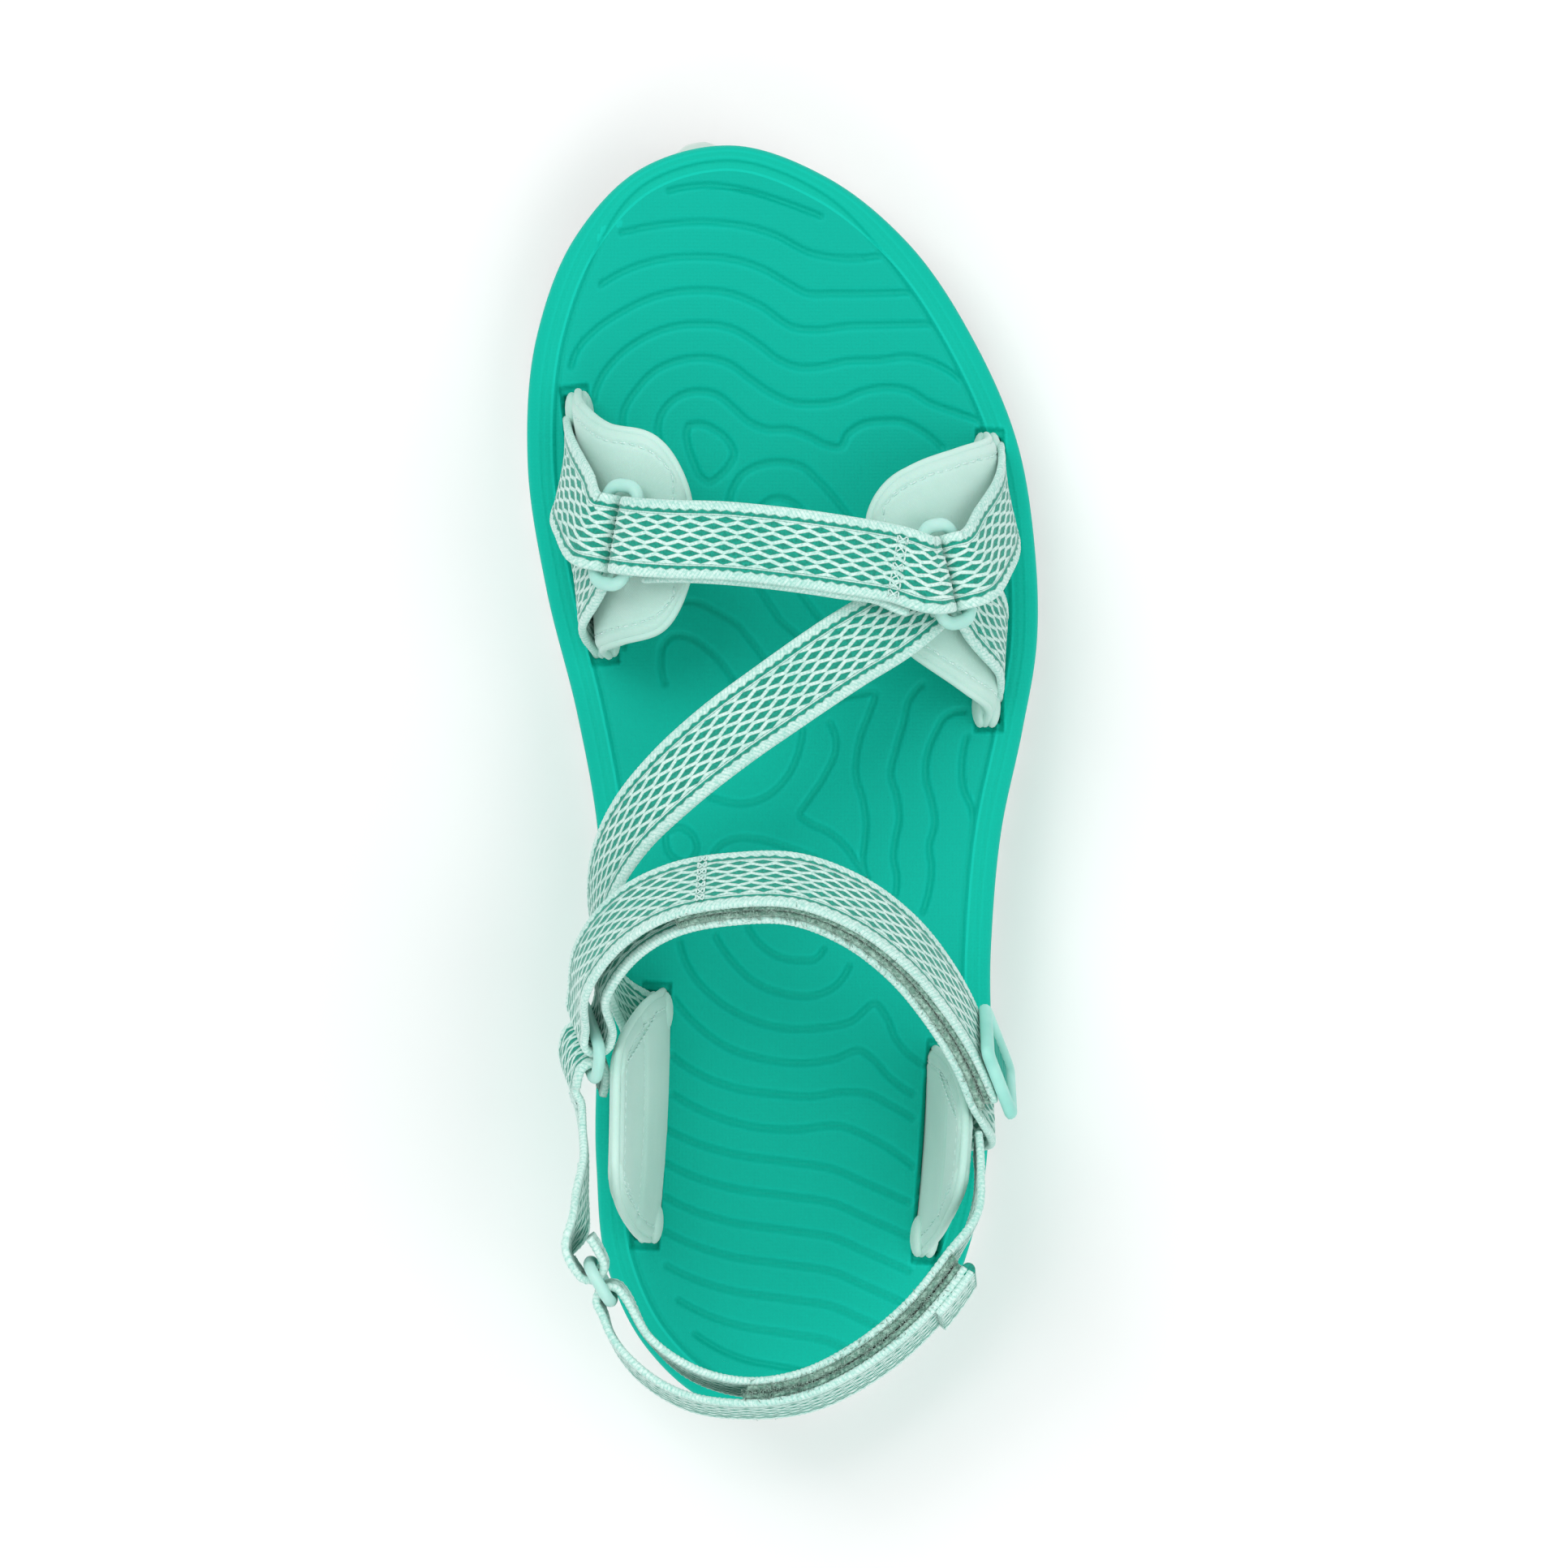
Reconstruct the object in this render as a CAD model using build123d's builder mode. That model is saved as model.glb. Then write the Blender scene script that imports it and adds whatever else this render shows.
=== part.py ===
from build123d import *
from math import cos, sin, radians
import os

# A strappy sport sandal for the right foot, in millimetres.
# Origin on the ground under the middle of the sole, +Y to the toes, +X to the little-toe side, +Z up.

# ---- driving dimensions ----
OUTSOLE_THICK = 5.0
LUG_DEPTH = 2.6
LUG_GROOVE = 3.2
LUG_PITCH = 13.0
LUG_ROWS = 10              # grooves across the tread on each side of the middle
LONG_GROOVE_X = 18.0
LONG_GROOVE_LENGTH = 300.0
RIM_WIDTH = 6.5            # midsole edge left standing around the footbed
FOOTBED_THICK = 3.4
FOOTBED_BELOW_RIM = 0.6
BOND_GAP = 0.05            # glue line between bonded layers
FIT_GAP = 0.1              # footbed edge to midsole pocket
SHANK_SIZE = (24.0, 84.0, 1.6)
SHANK_Y = -22.0
WEB_WIDTH = 16.0
WEB_THICK = 1.4
PAD_THICK = 3.5
SLOT_WIDTH = 6.8
SLOT_FLOOR = 8.0
SLOT_SURROUND = 9.0        # the footbed stops at a slot's inner wall, this much is midsole outside it
STRAP_FOOT = 9.0           # height at which straps and pads end inside their slots
FORE_SLOT_TOP = 26.0
HEEL_SLOT_TOP = 33.0
PAD_IN_SLOT = 0.9          # pad sits this far to the foot side of its slot's middle
WEB_IN_SLOT = 2.0          # webbing sits this far to the outer side
RING_BAR_R = 1.5
RING_SPACING = 8.0         # between the centre lines of a ring's two long bars
RING_LENGTH = 20.4         # between the centre lines of a ring's two short ends
RING_CORNER_R = 2.4
LOOP_R = RING_BAR_R + 0.6 + WEB_THICK / 2   # webbing centre line around a ring bar
LOOP_PATCH = 1.6
HOOK_PATCH = 1.4
PATCH_GAP = 0.15
PATCH_WIDTH = 13.0
LAYER_STEP = WEB_THICK + LOOP_PATCH + PATCH_GAP + HOOK_PATCH   # inner to outer webbing when closed
SKIN = 0.03                # free space under anything sewn on to a strap
JOIN_GAP = 0.9             # between the end of a fold round a ring and the strap that carries on from it
MIDWAY = 0.5
RING_LEAD = 4.0            # straight webbing before a fold round a ring
RING_TAIL = 5.0            # webbing sewn back after a fold round a ring
SEAM_ROW_GAP = 2.2         # between the two rows of the toe strap's seam
SEAM_THREAD = (0.7, 0.4)   # along the strap and off its face
TAB_SIZE = (19.0, 18.0, 2.4)
TAB_CORNER_R = 2.5
TAB_BORDER = 3.5
TAB_LIFT = 0.5             # the tab hangs this far off the flap
TAB_PAST_END = 4.0
INSET_DROP = 0.2
INSET_THICK = 1.6
ABOVE_RIM = 10.0
ABOVE_ALL = 60.0           # more than the height of the sole

# Sole outline seen from above, from the toe tip round the outer side, the heel and the inner side.
OUTLINE = [
    (-11.0, 132.5), (9.0, 126.0), (26.0, 112.5), (40.0, 92.0), (49.0, 71.0), (52.6, 50.0),
    (53.0, 28.0), (50.0, 10.5), (45.6, -10.0), (43.3, -35.0), (43.2, -68.0), (40.5, -90.0),
    (34.0, -108.0), (20.0, -123.5), (1.0, -131.5), (-16.0, -128.5), (-28.5, -117.5),
    (-36.5, -101.0), (-38.8, -80.0), (-38.3, -45.0), (-38.7, -10.0), (-43.0, 14.0),
    (-49.5, 40.0), (-53.5, 67.0), (-51.3, 94.0), (-43.5, 113.5), (-30.0, 127.5),
]
TOP_LINE = [(-140, 36), (-100, 34), (-40, 31), (20, 25), (60, 22.5), (100, 24.5), (140, 31)]
FLAT_HEEL_Y = -112.0
FLAT_TOE_Y = 55.0
HEEL_LIFT = (-140.0, 4.0)
TOE_SPRING_MID = (100.0, 4.0)
TOE_SPRING_END = (140.0, 13.5)

# Slots through the midsole: front end, back end (x, y).
SLOTS = {
    "medial_forefoot": ((-43.8, 82.5), (-37.0, 24.5)),
    "lateral_forefoot": ((43.3, 73.5), (43.0, 10.5)),
    "medial_heel": ((-26.2, -42.0), (-28.7, -97.0)),
    "lateral_heel": ((33.0, -54.0), (29.6, -100.0)),
}


def unit(*xyz):
    return Vector(*xyz).normalized()


def square_to(direction, axis):
    """The direction with its part along the axis taken out."""
    return (direction - axis * direction.dot(axis)).normalized()


# ---- rings: place and attitude ----
def ring_frame(centre, along, across):
    """A ring: middle, direction of its long bars, direction from the anchored bar to the strap bar."""
    along = unit(*along)
    across = square_to(Vector(*across), along)
    middle = Vector(*centre)
    return {
        "middle": middle,
        "along": along,
        "across": across,
        "anchor": middle - across * RING_SPACING / 2,
        "strap": middle + across * RING_SPACING / 2,
    }


TOE_RING_M = ring_frame((-34.2, 50.4, 54.0), (0.18, 0.98, 0), (0.803, -0.148, 0.574))
TOE_RING_L = ring_frame((33.5, 42.4, 53.5), (-0.235, 0.972, 0), (-0.796, -0.192, 0.574))
ANKLE_RING = ring_frame((-39.7, -52.4, 64.0), (0.23, -0.53, 0.81), (0.14, 0.845, 0.517))
HEEL_RING = ring_frame((-36.8, -101.0, 74.0), (0, 0, -1), (0.51, -0.86, 0))
TOE_FACE_M = TOE_RING_M["across"].cross(TOE_RING_M["along"])
TOE_FACE_L = TOE_RING_L["along"].cross(TOE_RING_L["across"])
ANKLE_FACE = ANKLE_RING["along"].cross(ANKLE_RING["across"])
HEEL_FACE = HEEL_RING["along"].cross(HEEL_RING["across"])


# ---- bands: straps and pads as sections along a centre line ----
def run(points, faces, before=None, after=None):
    """Stations along a strap from its points and the way its face looks at each one."""
    centres = [Vector(*p) for p in points]
    line = ([before] if before else [centres[0]]) + centres + ([after] if after else [centres[-1]])
    stations = []
    for i, centre in enumerate(centres):
        forward = (line[i + 2] - line[i]).normalized()
        face = square_to(Vector(*faces[i]), forward)
        stations.append((centre, face.cross(forward), WEB_WIDTH))
    return stations


def fold(bar, face, toward, across, start=0, end=180, steps=6):
    """Stations of webbing folded round a bar, from angle start to end, 0 on its outer face."""
    stations = []
    for i in range(steps + 1):
        angle = radians(start + (end - start) * i / steps)
        centre = bar + (face * cos(angle) + toward * sin(angle)) * LOOP_R
        stations.append((centre, across, WEB_WIDTH))
    return stations


def pad_stations(rows):
    """Stations of a pad from its front and back edge points at each height."""
    stations = []
    for front, back in rows:
        middle = (Vector(*front) + Vector(*back)) * MIDWAY
        edge = Vector(*front) - Vector(*back)
        stations.append((middle, edge.normalized(), edge.length))
    return stations


def planes_of(stations):
    """Planes across a band: x along its width, y out of its face, z along its run."""
    planes = []
    last = len(stations) - 1
    for i, (centre, across, _) in enumerate(stations):
        ahead = stations[min(i + 1, last)][0] - stations[max(i - 1, 0)][0]
        planes.append(Plane(origin=centre, x_dir=across, z_dir=square_to(ahead, across)))
    return planes


def band(stations, thick=WEB_THICK):
    """A strap or a pad: rectangles across the stations, joined by ruled faces."""
    with BuildPart() as piece:
        for plane, (_, _, width) in zip(planes_of(stations), stations):
            with BuildSketch(plane):
                Rectangle(width, thick)
        loft(ruled=True)
    return piece


def length_of_band(whole, first, last, width=WEB_WIDTH, thick=WEB_THICK, lift=0.0):
    """Part of a run between two stations, on the whole run's planes so that its parts meet face to face."""
    with BuildPart() as piece:
        for plane in planes_of(whole)[first:last + 1]:
            with BuildSketch(plane):
                with Locations((0, lift)):
                    Rectangle(width, thick)
        loft(ruled=True)
    return piece


def moved(stations, distance):
    """The same stations moved off along their faces."""
    result = []
    for plane, (centre, across, width) in zip(planes_of(stations), stations):
        result.append((centre + plane.y_dir * distance, across, width))
    return result


def slot_frame(name):
    """A slot's middle, half length, direction to the front and direction to the outside of the sole."""
    (x0, y0), (x1, y1) = SLOTS[name]
    front = Vector(x0, y0)
    back = Vector(x1, y1)
    ahead = (front - back).normalized()
    outward = Vector(ahead.Y, -ahead.X) * (1 if x0 > 0 else -1)
    return (front + back) * MIDWAY, (front - back).length / 2, ahead, outward


def slot_point(name, y, toward_outside, z):
    """A point in a slot at a given y, moved off the slot's middle line, at height z."""
    middle, _, ahead, outward = slot_frame(name)
    point = middle + ahead * ((y - middle.Y) / ahead.Y) + outward * toward_outside
    return (point.X, point.Y, z)


def finish(piece, label):
    piece.part.label = label
    export_step(piece.part, f"parts/{label}.step")


# ---- sole ----
def inset_outline(distance):
    """The outline's points moved inwards along the local normal."""
    count = len(OUTLINE)
    points = []
    for i, (x, y) in enumerate(OUTLINE):
        before = OUTLINE[i - 1]
        after = OUTLINE[(i + 1) % count]
        chord = Vector(after[0] - before[0], after[1] - before[1]).normalized()
        points.append((x + chord.Y * distance, y - chord.X * distance))
    return points


def outline_face(distance=0.0):
    """The sole's plan as a face of the sketch being built."""
    with BuildLine() as edge:
        Spline(*inset_outline(distance), periodic=True)
    make_face(edge.edges())


def ground_curve(lift):
    """The upturned heel, the flat tread and the toe spring, raised by lift."""
    flat_heel = (FLAT_HEEL_Y, lift)
    flat_toe = (FLAT_TOE_Y, lift)
    toe_mid = (TOE_SPRING_MID[0], TOE_SPRING_MID[1] + lift)
    toe_end = (TOE_SPRING_END[0], TOE_SPRING_END[1] + lift)
    heel_end = (HEEL_LIFT[0], HEEL_LIFT[1] + lift)
    Spline(heel_end, flat_heel, tangents=[(1, -0.3), (1, 0)])
    Line(flat_heel, flat_toe)
    Spline(flat_toe, toe_mid, toe_end, tangents=[(1, 0), (1, 0.3)])
    return heel_end, toe_end


def ground_height(y):
    """Roughly how far the tread is off the ground, zero over its flat length."""
    past_toe = max(0.0, y - FLAT_TOE_Y) / (TOE_SPRING_END[0] - FLAT_TOE_Y)
    return TOE_SPRING_END[1] * past_toe * past_toe


def foot_curve(lift):
    """The top edge of the sole seen from the side, raised by lift."""
    points = [(y, z + lift) for y, z in TOP_LINE]
    Spline(*points)
    return points[0], points[-1]


def side_band(lower, lower_lift, upper, upper_lift):
    """The side view between two curves, as a face on the YZ plane."""
    with BuildSketch(Plane.YZ) as side:
        with BuildLine():
            low_heel, low_toe = lower(lower_lift)
            high_heel, high_toe = upper(upper_lift)
            Line(low_heel, high_heel)
            Line(low_toe, high_toe)
        make_face()
    return side.sketch


def sole_layer(inset, lower, lower_lift, upper, upper_lift):
    """The plan outline carried up and trimmed to a side view."""
    side = side_band(lower, lower_lift, upper, upper_lift)
    with BuildPart() as layer:
        with BuildSketch():
            outline_face(inset)
        extrude(amount=ABOVE_ALL)
        extrude(side, amount=ABOVE_ALL, both=True, mode=Mode.INTERSECT)
    return layer.part


def slot_blocks(outward_extra=0.0, grow=0.0):
    """Upright blocks over the four strap slots, widened towards the outside and grown all round."""
    with BuildPart() as blocks:
        for name in SLOTS:
            middle, half_length, ahead, outward = slot_frame(name)
            middle = middle + outward * outward_extra / 2
            with BuildSketch(Plane(origin=(middle.X, middle.Y, SLOT_FLOOR), x_dir=ahead, z_dir=(0, 0, 1))):
                Rectangle(2 * (half_length + grow), SLOT_WIDTH + outward_extra + 2 * grow)
            extrude(amount=ABOVE_ALL)
    return blocks.part


def build_outsole():
    slab = sole_layer(0, ground_curve, 0, ground_curve, OUTSOLE_THICK)
    with BuildPart() as outsole:
        add(slab)
        for i in range(-LUG_ROWS, LUG_ROWS):
            y = (i + MIDWAY) * LUG_PITCH
            with BuildSketch(Plane.YZ):
                with Locations((y, ground_height(y) + (LUG_DEPTH - 1) / 2)):
                    Rectangle(LUG_GROOVE, LUG_DEPTH + 1)
            extrude(amount=ABOVE_ALL, both=True, mode=Mode.SUBTRACT)
        with BuildSketch(Plane.XY.offset(-1)):
            with Locations((-LONG_GROOVE_X, 0), (LONG_GROOVE_X, 0)):
                Rectangle(LUG_GROOVE, LONG_GROOVE_LENGTH)
        extrude(amount=LUG_DEPTH + 1, mode=Mode.SUBTRACT)
    finish(outsole, "outsole")


def build_midsole():
    width, length, thick = SHANK_SIZE
    pocket_drop = FOOTBED_BELOW_RIM + FOOTBED_THICK
    body = sole_layer(0, ground_curve, OUTSOLE_THICK + BOND_GAP, foot_curve, 0)
    pocket = sole_layer(RIM_WIDTH, foot_curve, -pocket_drop, foot_curve, ABOVE_RIM)
    with BuildPart() as pocket_clear_of_slots:
        add(pocket)
        add(slot_blocks(SLOT_SURROUND), mode=Mode.SUBTRACT)
    with BuildPart() as midsole:
        add(body)
        add(pocket_clear_of_slots.part, mode=Mode.SUBTRACT)
        with BuildSketch(Plane((0, SHANK_Y, OUTSOLE_THICK - 1))):
            SlotOverall(length + 2 * FIT_GAP, width + 2 * FIT_GAP, rotation=90)
        extrude(amount=1 + thick + 2 * FIT_GAP, mode=Mode.SUBTRACT)
        add(slot_blocks(), mode=Mode.SUBTRACT)
    finish(midsole, "midsole")


def build_footbed():
    base = -FOOTBED_BELOW_RIM - FOOTBED_THICK + BOND_GAP
    body = sole_layer(RIM_WIDTH + FIT_GAP, foot_curve, base, foot_curve, -FOOTBED_BELOW_RIM)
    with BuildPart() as footbed:
        add(body)
        add(slot_blocks(SLOT_SURROUND, FIT_GAP), mode=Mode.SUBTRACT)
    finish(footbed, "footbed")


def build_shank():
    width, length, thick = SHANK_SIZE
    with BuildPart() as shank:
        with BuildSketch(Plane((0, SHANK_Y, OUTSOLE_THICK + FIT_GAP))):
            SlotOverall(length, width, rotation=90)
        extrude(amount=thick)
    finish(shank, "shank_plate")


# ---- moulded rings ----
def build_ring(ring, label):
    plane = Plane(origin=ring["middle"], x_dir=ring["along"], z_dir=ring["along"].cross(ring["across"]))
    end = RING_LENGTH / 2
    half = RING_SPACING / 2
    with BuildPart() as piece:
        with BuildLine(plane) as path:
            bar = Line((RING_CORNER_R - end, half), (end - RING_CORNER_R, half))
            for way in (1, -1):
                side = way * end
                inner = way * (end - RING_CORNER_R)
                low = RING_CORNER_R - half
                RadiusArc((inner, half), (side, -low), way * RING_CORNER_R)
                Line((side, -low), (side, low))
                RadiusArc((side, low), (inner, -half), way * RING_CORNER_R)
            Line((RING_CORNER_R - end, -half), (end - RING_CORNER_R, -half))
        with BuildSketch(Plane(origin=bar @ 0, z_dir=bar % 0)):
            Circle(RING_BAR_R)
        sweep(path=path.wires()[0])
    finish(piece, label)


# ---- pads ----
def pad_rows(slot, front_y, back_y, slot_top, upper):
    low = [
        (slot_point(slot, front_y, -PAD_IN_SLOT, z), slot_point(slot, back_y, -PAD_IN_SLOT, z))
        for z in (STRAP_FOOT, slot_top)
    ]
    return low + upper


def build_pads():
    medial_fore = [
        ((-41.8, 78.0, 36.0), (-37.2, 27.5, 36.0)), ((-36.0, 73.0, 45.0), (-32.5, 29.0, 45.0)),
        ((-27.0, 70.5, 50.5), (-25.5, 31.0, 50.5)), ((-20.0, 61.5, 53.0), (-20.3, 38.0, 53.0)),
    ]
    lateral_fore = [
        ((42.4, 70.5, 33.0), (42.6, 15.0, 33.0)), ((36.0, 68.0, 41.0), (37.5, 19.0, 41.0)),
        ((27.0, 64.5, 47.0), (30.0, 24.0, 47.0)), ((17.0, 57.0, 50.5), (23.0, 30.0, 50.5)),
    ]
    medial_heel = [
        ((-28.5, -46.0, 48.0), (-30.0, -93.0, 48.0)), ((-32.0, -51.0, 62.0), (-33.0, -87.0, 62.0)),
        ((-33.6, -57.0, 72.0), (-34.0, -80.0, 72.0)),
    ]
    lateral_heel = [
        ((34.4, -58.0, 48.0), (32.2, -93.0, 48.0)), ((36.4, -63.0, 62.0), (34.6, -87.0, 62.0)),
        ((37.2, -69.0, 71.0), (36.0, -81.0, 71.0)),
    ]
    table = {
        "medial_forefoot_pad": pad_rows("medial_forefoot", 81.0, 26.0, FORE_SLOT_TOP, medial_fore),
        "lateral_forefoot_pad": pad_rows("lateral_forefoot", 72.0, 12.0, FORE_SLOT_TOP, lateral_fore),
        "medial_heel_pad": pad_rows("medial_heel", -44.0, -95.0, HEEL_SLOT_TOP, medial_heel),
        "lateral_heel_pad": pad_rows("lateral_heel", -56.0, -98.0, HEEL_SLOT_TOP, lateral_heel),
    }
    for label, rows in table.items():
        finish(band(pad_stations(rows), PAD_THICK), label)


# ---- forefoot webbing ----
def build_forefoot_webbing(label, slot, ring, face, front, rear):
    """A webbing V: up from the slot, over and round the ring's anchored bar, and back to the slot."""
    front_y, front_points, front_faces = front
    rear_y, rear_points, rear_faces = rear
    outward = slot_frame(slot)[3]
    turn = fold(ring["anchor"], face, ring["across"], face.cross(ring["across"]))
    in_front = [slot_point(slot, front_y, WEB_IN_SLOT, z) for z in (STRAP_FOOT, FORE_SLOT_TOP)]
    in_rear = [slot_point(slot, rear_y, WEB_IN_SLOT, z) for z in (FORE_SLOT_TOP, STRAP_FOOT)]
    down_faces = [Vector(*face) * -1 for face in rear_faces] + [outward * -1, outward * -1]
    up = run(in_front + front_points, [outward, outward] + front_faces, after=turn[0][0])
    down = run(rear_points + in_rear, down_faces, before=turn[-1][0])
    finish(band(up + turn + down), label)


def build_toe_strap():
    start = fold(TOE_RING_M["strap"], TOE_FACE_M, -TOE_RING_M["across"], TOE_RING_M["along"], 180, 0)
    end = fold(TOE_RING_L["strap"], TOE_FACE_L, -TOE_RING_L["across"], TOE_RING_L["along"], 0, 180)
    points = [(-24, 49.3, 62.3), (-12, 48.8, 65.3), (0, 47.6, 66.2), (12, 46, 65), (23, 44.2, 61.6)]
    faces = [(-0.35, 0, 0.94), (-0.18, 0, 0.98), (0, 0, 1), (0.2, 0.03, 0.98), (0.4, 0.07, 0.91)]
    middle = run(points, faces, before=start[-1][0], after=end[0][0])
    finish(band(start + middle + end), "toe_strap")
    drops = (2.9, 1.7, 1.7, 1.7, 2.7)
    lower = []
    for (centre, across, width), plane, drop in zip(middle, planes_of(middle), drops):
        lower.append((centre - plane.y_dir * drop, across, width))
    first = (start[0][0] + TOE_RING_M["across"] * JOIN_GAP, start[0][1], WEB_WIDTH)
    last = (end[-1][0] + TOE_RING_L["across"] * JOIN_GAP, end[-1][1], WEB_WIDTH)
    backing = [first] + lower + [last]
    finish(band(backing), "toe_strap_backing")
    thread_long, thread_high = SEAM_THREAD
    end_plane = planes_of(middle)[-1]
    with BuildPart() as seam:
        for row in (0.0, SEAM_ROW_GAP):
            with BuildSketch(end_plane.offset(row)):
                with Locations((0, (WEB_THICK + thread_high) / 2 + 2 * SKIN)):
                    Rectangle(WEB_WIDTH - 2, thread_high)
            extrude(amount=thread_long)
    finish(seam, "toe_strap_seam")


def build_instep_strap():
    slot_y = -51.5
    end_points = [slot_point("medial_heel", slot_y, WEB_IN_SLOT, z) for z in (HEEL_SLOT_TOP, STRAP_FOOT)]
    points = [
        (29.0, 38.2, 51.0), (22.9, 33.0, 54.6), (12.0, 26.0, 60.2), (-1.0, 17.0, 66.0), (-12.0, 9.0, 69.5),
        (-22.0, 0.5, 70.5), (-30.5, -8.5, 67.5), (-36.0, -18.0, 61.0), (-38.0, -27.5, 53.5),
        (-37.0, -37.5, 45.5), (-33.0, -46.0, 38.5),
    ] + end_points
    faces = [
        (0.45, 0.2, 0.87), (0.42, 0.22, 0.88), (0.3, 0.3, 0.9), (0.1, 0.35, 0.93), (-0.1, 0.35, 0.93),
        (-0.35, 0.35, 0.87), (-0.62, 0.3, 0.72), (-0.83, 0.2, 0.52), (-0.95, 0.05, 0.3),
        (-0.98, 0, 0.15), (-1, 0, 0), slot_frame("medial_heel")[3], slot_frame("medial_heel")[3],
    ]
    finish(band(run(points, faces)), "instep_strap")


# ---- ankle closure ----
def build_medial_heel_webbing():
    """The webbing outside the medial heel pad that holds the ankle ring and the heel ring."""
    ankle_turn = fold(ANKLE_RING["anchor"], -ANKLE_FACE, ANKLE_RING["across"], ANKLE_RING["along"])
    heel_turn = fold(HEEL_RING["anchor"], HEEL_FACE, HEEL_RING["across"], -HEEL_RING["along"])
    ankle_tail = [(ankle_turn[0][0] - ANKLE_RING["across"] * RING_TAIL, ankle_turn[0][1], WEB_WIDTH)]
    ankle_lead = [(ankle_turn[-1][0] - ANKLE_RING["across"] * RING_LEAD, ankle_turn[-1][1], WEB_WIDTH)]
    heel_lead = [(heel_turn[0][0] - HEEL_RING["across"] * RING_LEAD, heel_turn[0][1], WEB_WIDTH)]
    heel_tail = [(heel_turn[-1][0] - HEEL_RING["across"] * RING_TAIL, heel_turn[-1][1], WEB_WIDTH)]
    points = [(-41.6, -65.5, 59.0), (-40.6, -73.0, 60.3), (-40.4, -80.0, 63.6), (-41.0, -87.5, 69.0)]
    faces = [(-1, -0.05, 0.1), (-1, 0, 0), (-1, 0, 0), (-0.97, -0.2, 0)]
    middle = run(points, faces, before=ankle_lead[0][0], after=heel_lead[0][0])
    near_ankle = ankle_tail + ankle_turn + ankle_lead
    near_heel = heel_lead + heel_turn + heel_tail
    finish(band(near_ankle + middle + near_heel), "medial_heel_webbing")


ANKLE_OUTER = [
    (42.6, -60.5, 67.0), (39.2, -52.0, 73.0), (33.2, -41.7, 80.0), (25.1, -32.0, 87.0), (15.4, -24.7, 92.0),
    (2.4, -19.8, 95.0), (-10.5, -19.8, 95.0), (-21.9, -21.9, 92.5), (-33.0, -28.0, 86.5), (-40.0, -37.0, 79.0),
]
ANKLE_FACES = [
    (0.93, 0.3, 0.2), (0.88, 0.36, 0.3), (0.75, 0.48, 0.46), (0.55, 0.6, 0.58), (0.3, 0.7, 0.64),
    (0.08, 0.755, 0.656), (-0.15, 0.75, 0.64), (-0.4, 0.68, 0.62), (-0.65, 0.5, 0.56), (-0.86, 0.28, 0.42),
]
HEEL_INNER = [
    (33.4, -97.2, 71.0), (25.2, -107.4, 73.0), (15.0, -115.6, 74.0), (4.0, -121.0, 74.0),
    (-7.4, -122.4, 74.0), (-18.2, -119.4, 74.0), (-27.2, -112.0, 74.0),
]
HEEL_FACES = [
    (0.8, -0.6, 0), (0.66, -0.75, 0), (0.47, -0.88, 0), (0.2, -0.98, 0), (-0.12, -0.99, 0),
    (-0.42, -0.9, 0), (-0.6, -0.8, 0),
]


def ankle_runs():
    """The closure's inner and outer runs between the lateral side and the ring, both ending at the ring."""
    turn = fold(ANKLE_RING["strap"], -ANKLE_FACE, -ANKLE_RING["across"], ANKLE_RING["along"], 0, 180)
    outer = run(ANKLE_OUTER, ANKLE_FACES, after=turn[-1][0])
    inner = moved(outer, -LAYER_STEP)
    return inner, outer, turn


def heel_runs():
    turn = fold(HEEL_RING["strap"], -HEEL_FACE, -HEEL_RING["across"], HEEL_RING["along"], 0, 180)
    inner = run(HEEL_INNER, HEEL_FACES, after=turn[0][0])
    outer = moved(inner, LAYER_STEP)
    bulge = [(-19.9, -125.0, 74.0), (-29.8, -118.6, 74.0), (-35.0, -111.4, 74.0)]
    bulge_faces = [(-0.4, -0.92, 0), (-0.62, -0.78, 0), (-0.8, -0.6, 0)]
    free = run(bulge, bulge_faces, before=outer[4][0], after=turn[-1][0])
    return inner, outer[:5] + free, turn


def build_closure(name, ring, inner, outer, turn, start, split, patch_ends):
    """A hook-and-loop closure: fixed inner strap, its loop patch, and a flap in three lengths."""
    finish(band(start + inner + turn), f"{name}_strap")
    first, second = split
    hinge_end = (turn[-1][0] + ring["across"] * JOIN_GAP, turn[-1][1], WEB_WIDTH)
    whole = outer + [hinge_end]
    lengths = {"root": (second, len(whole) - 1), "middle": (first, second), "tip": (0, first)}
    for label, ends in lengths.items():
        finish(length_of_band(whole, *ends), f"{name}_flap_{label}")
    low, high = patch_ends
    before = len(start)
    thick = LOOP_PATCH - 2 * SKIN
    lift = (WEB_THICK + LOOP_PATCH) / 2
    loop = length_of_band(start + inner + turn, before + low, before + high, PATCH_WIDTH, thick, lift)
    finish(loop, f"{name}_loop_patch")
    thick = HOOK_PATCH - 2 * SKIN
    lift = -(WEB_THICK + HOOK_PATCH) / 2
    finish(length_of_band(whole, first, high, PATCH_WIDTH, thick, lift), f"{name}_hook_patch_middle")
    finish(length_of_band(whole, low, first, PATCH_WIDTH, thick, lift), f"{name}_hook_patch_tip")


def build_ankle_closure():
    inner, outer, turn = ankle_runs()
    slot_y = -67.0
    low = [slot_point("lateral_heel", slot_y, WEB_IN_SLOT, z) for z in (STRAP_FOOT, HEEL_SLOT_TOP)]
    outward = slot_frame("lateral_heel")[3]
    points = low + [(39.6, -68.0, 48.0), (42.1, -66.5, 58.5)]
    faces = [outward, outward, (1, 0, -0.2), (1, 0.05, -0.05)]
    start = run(points, faces, after=inner[0][0])
    build_closure("ankle", ANKLE_RING, inner, outer, turn, start, (3, 7), (0, 7))
    return outer


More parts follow.
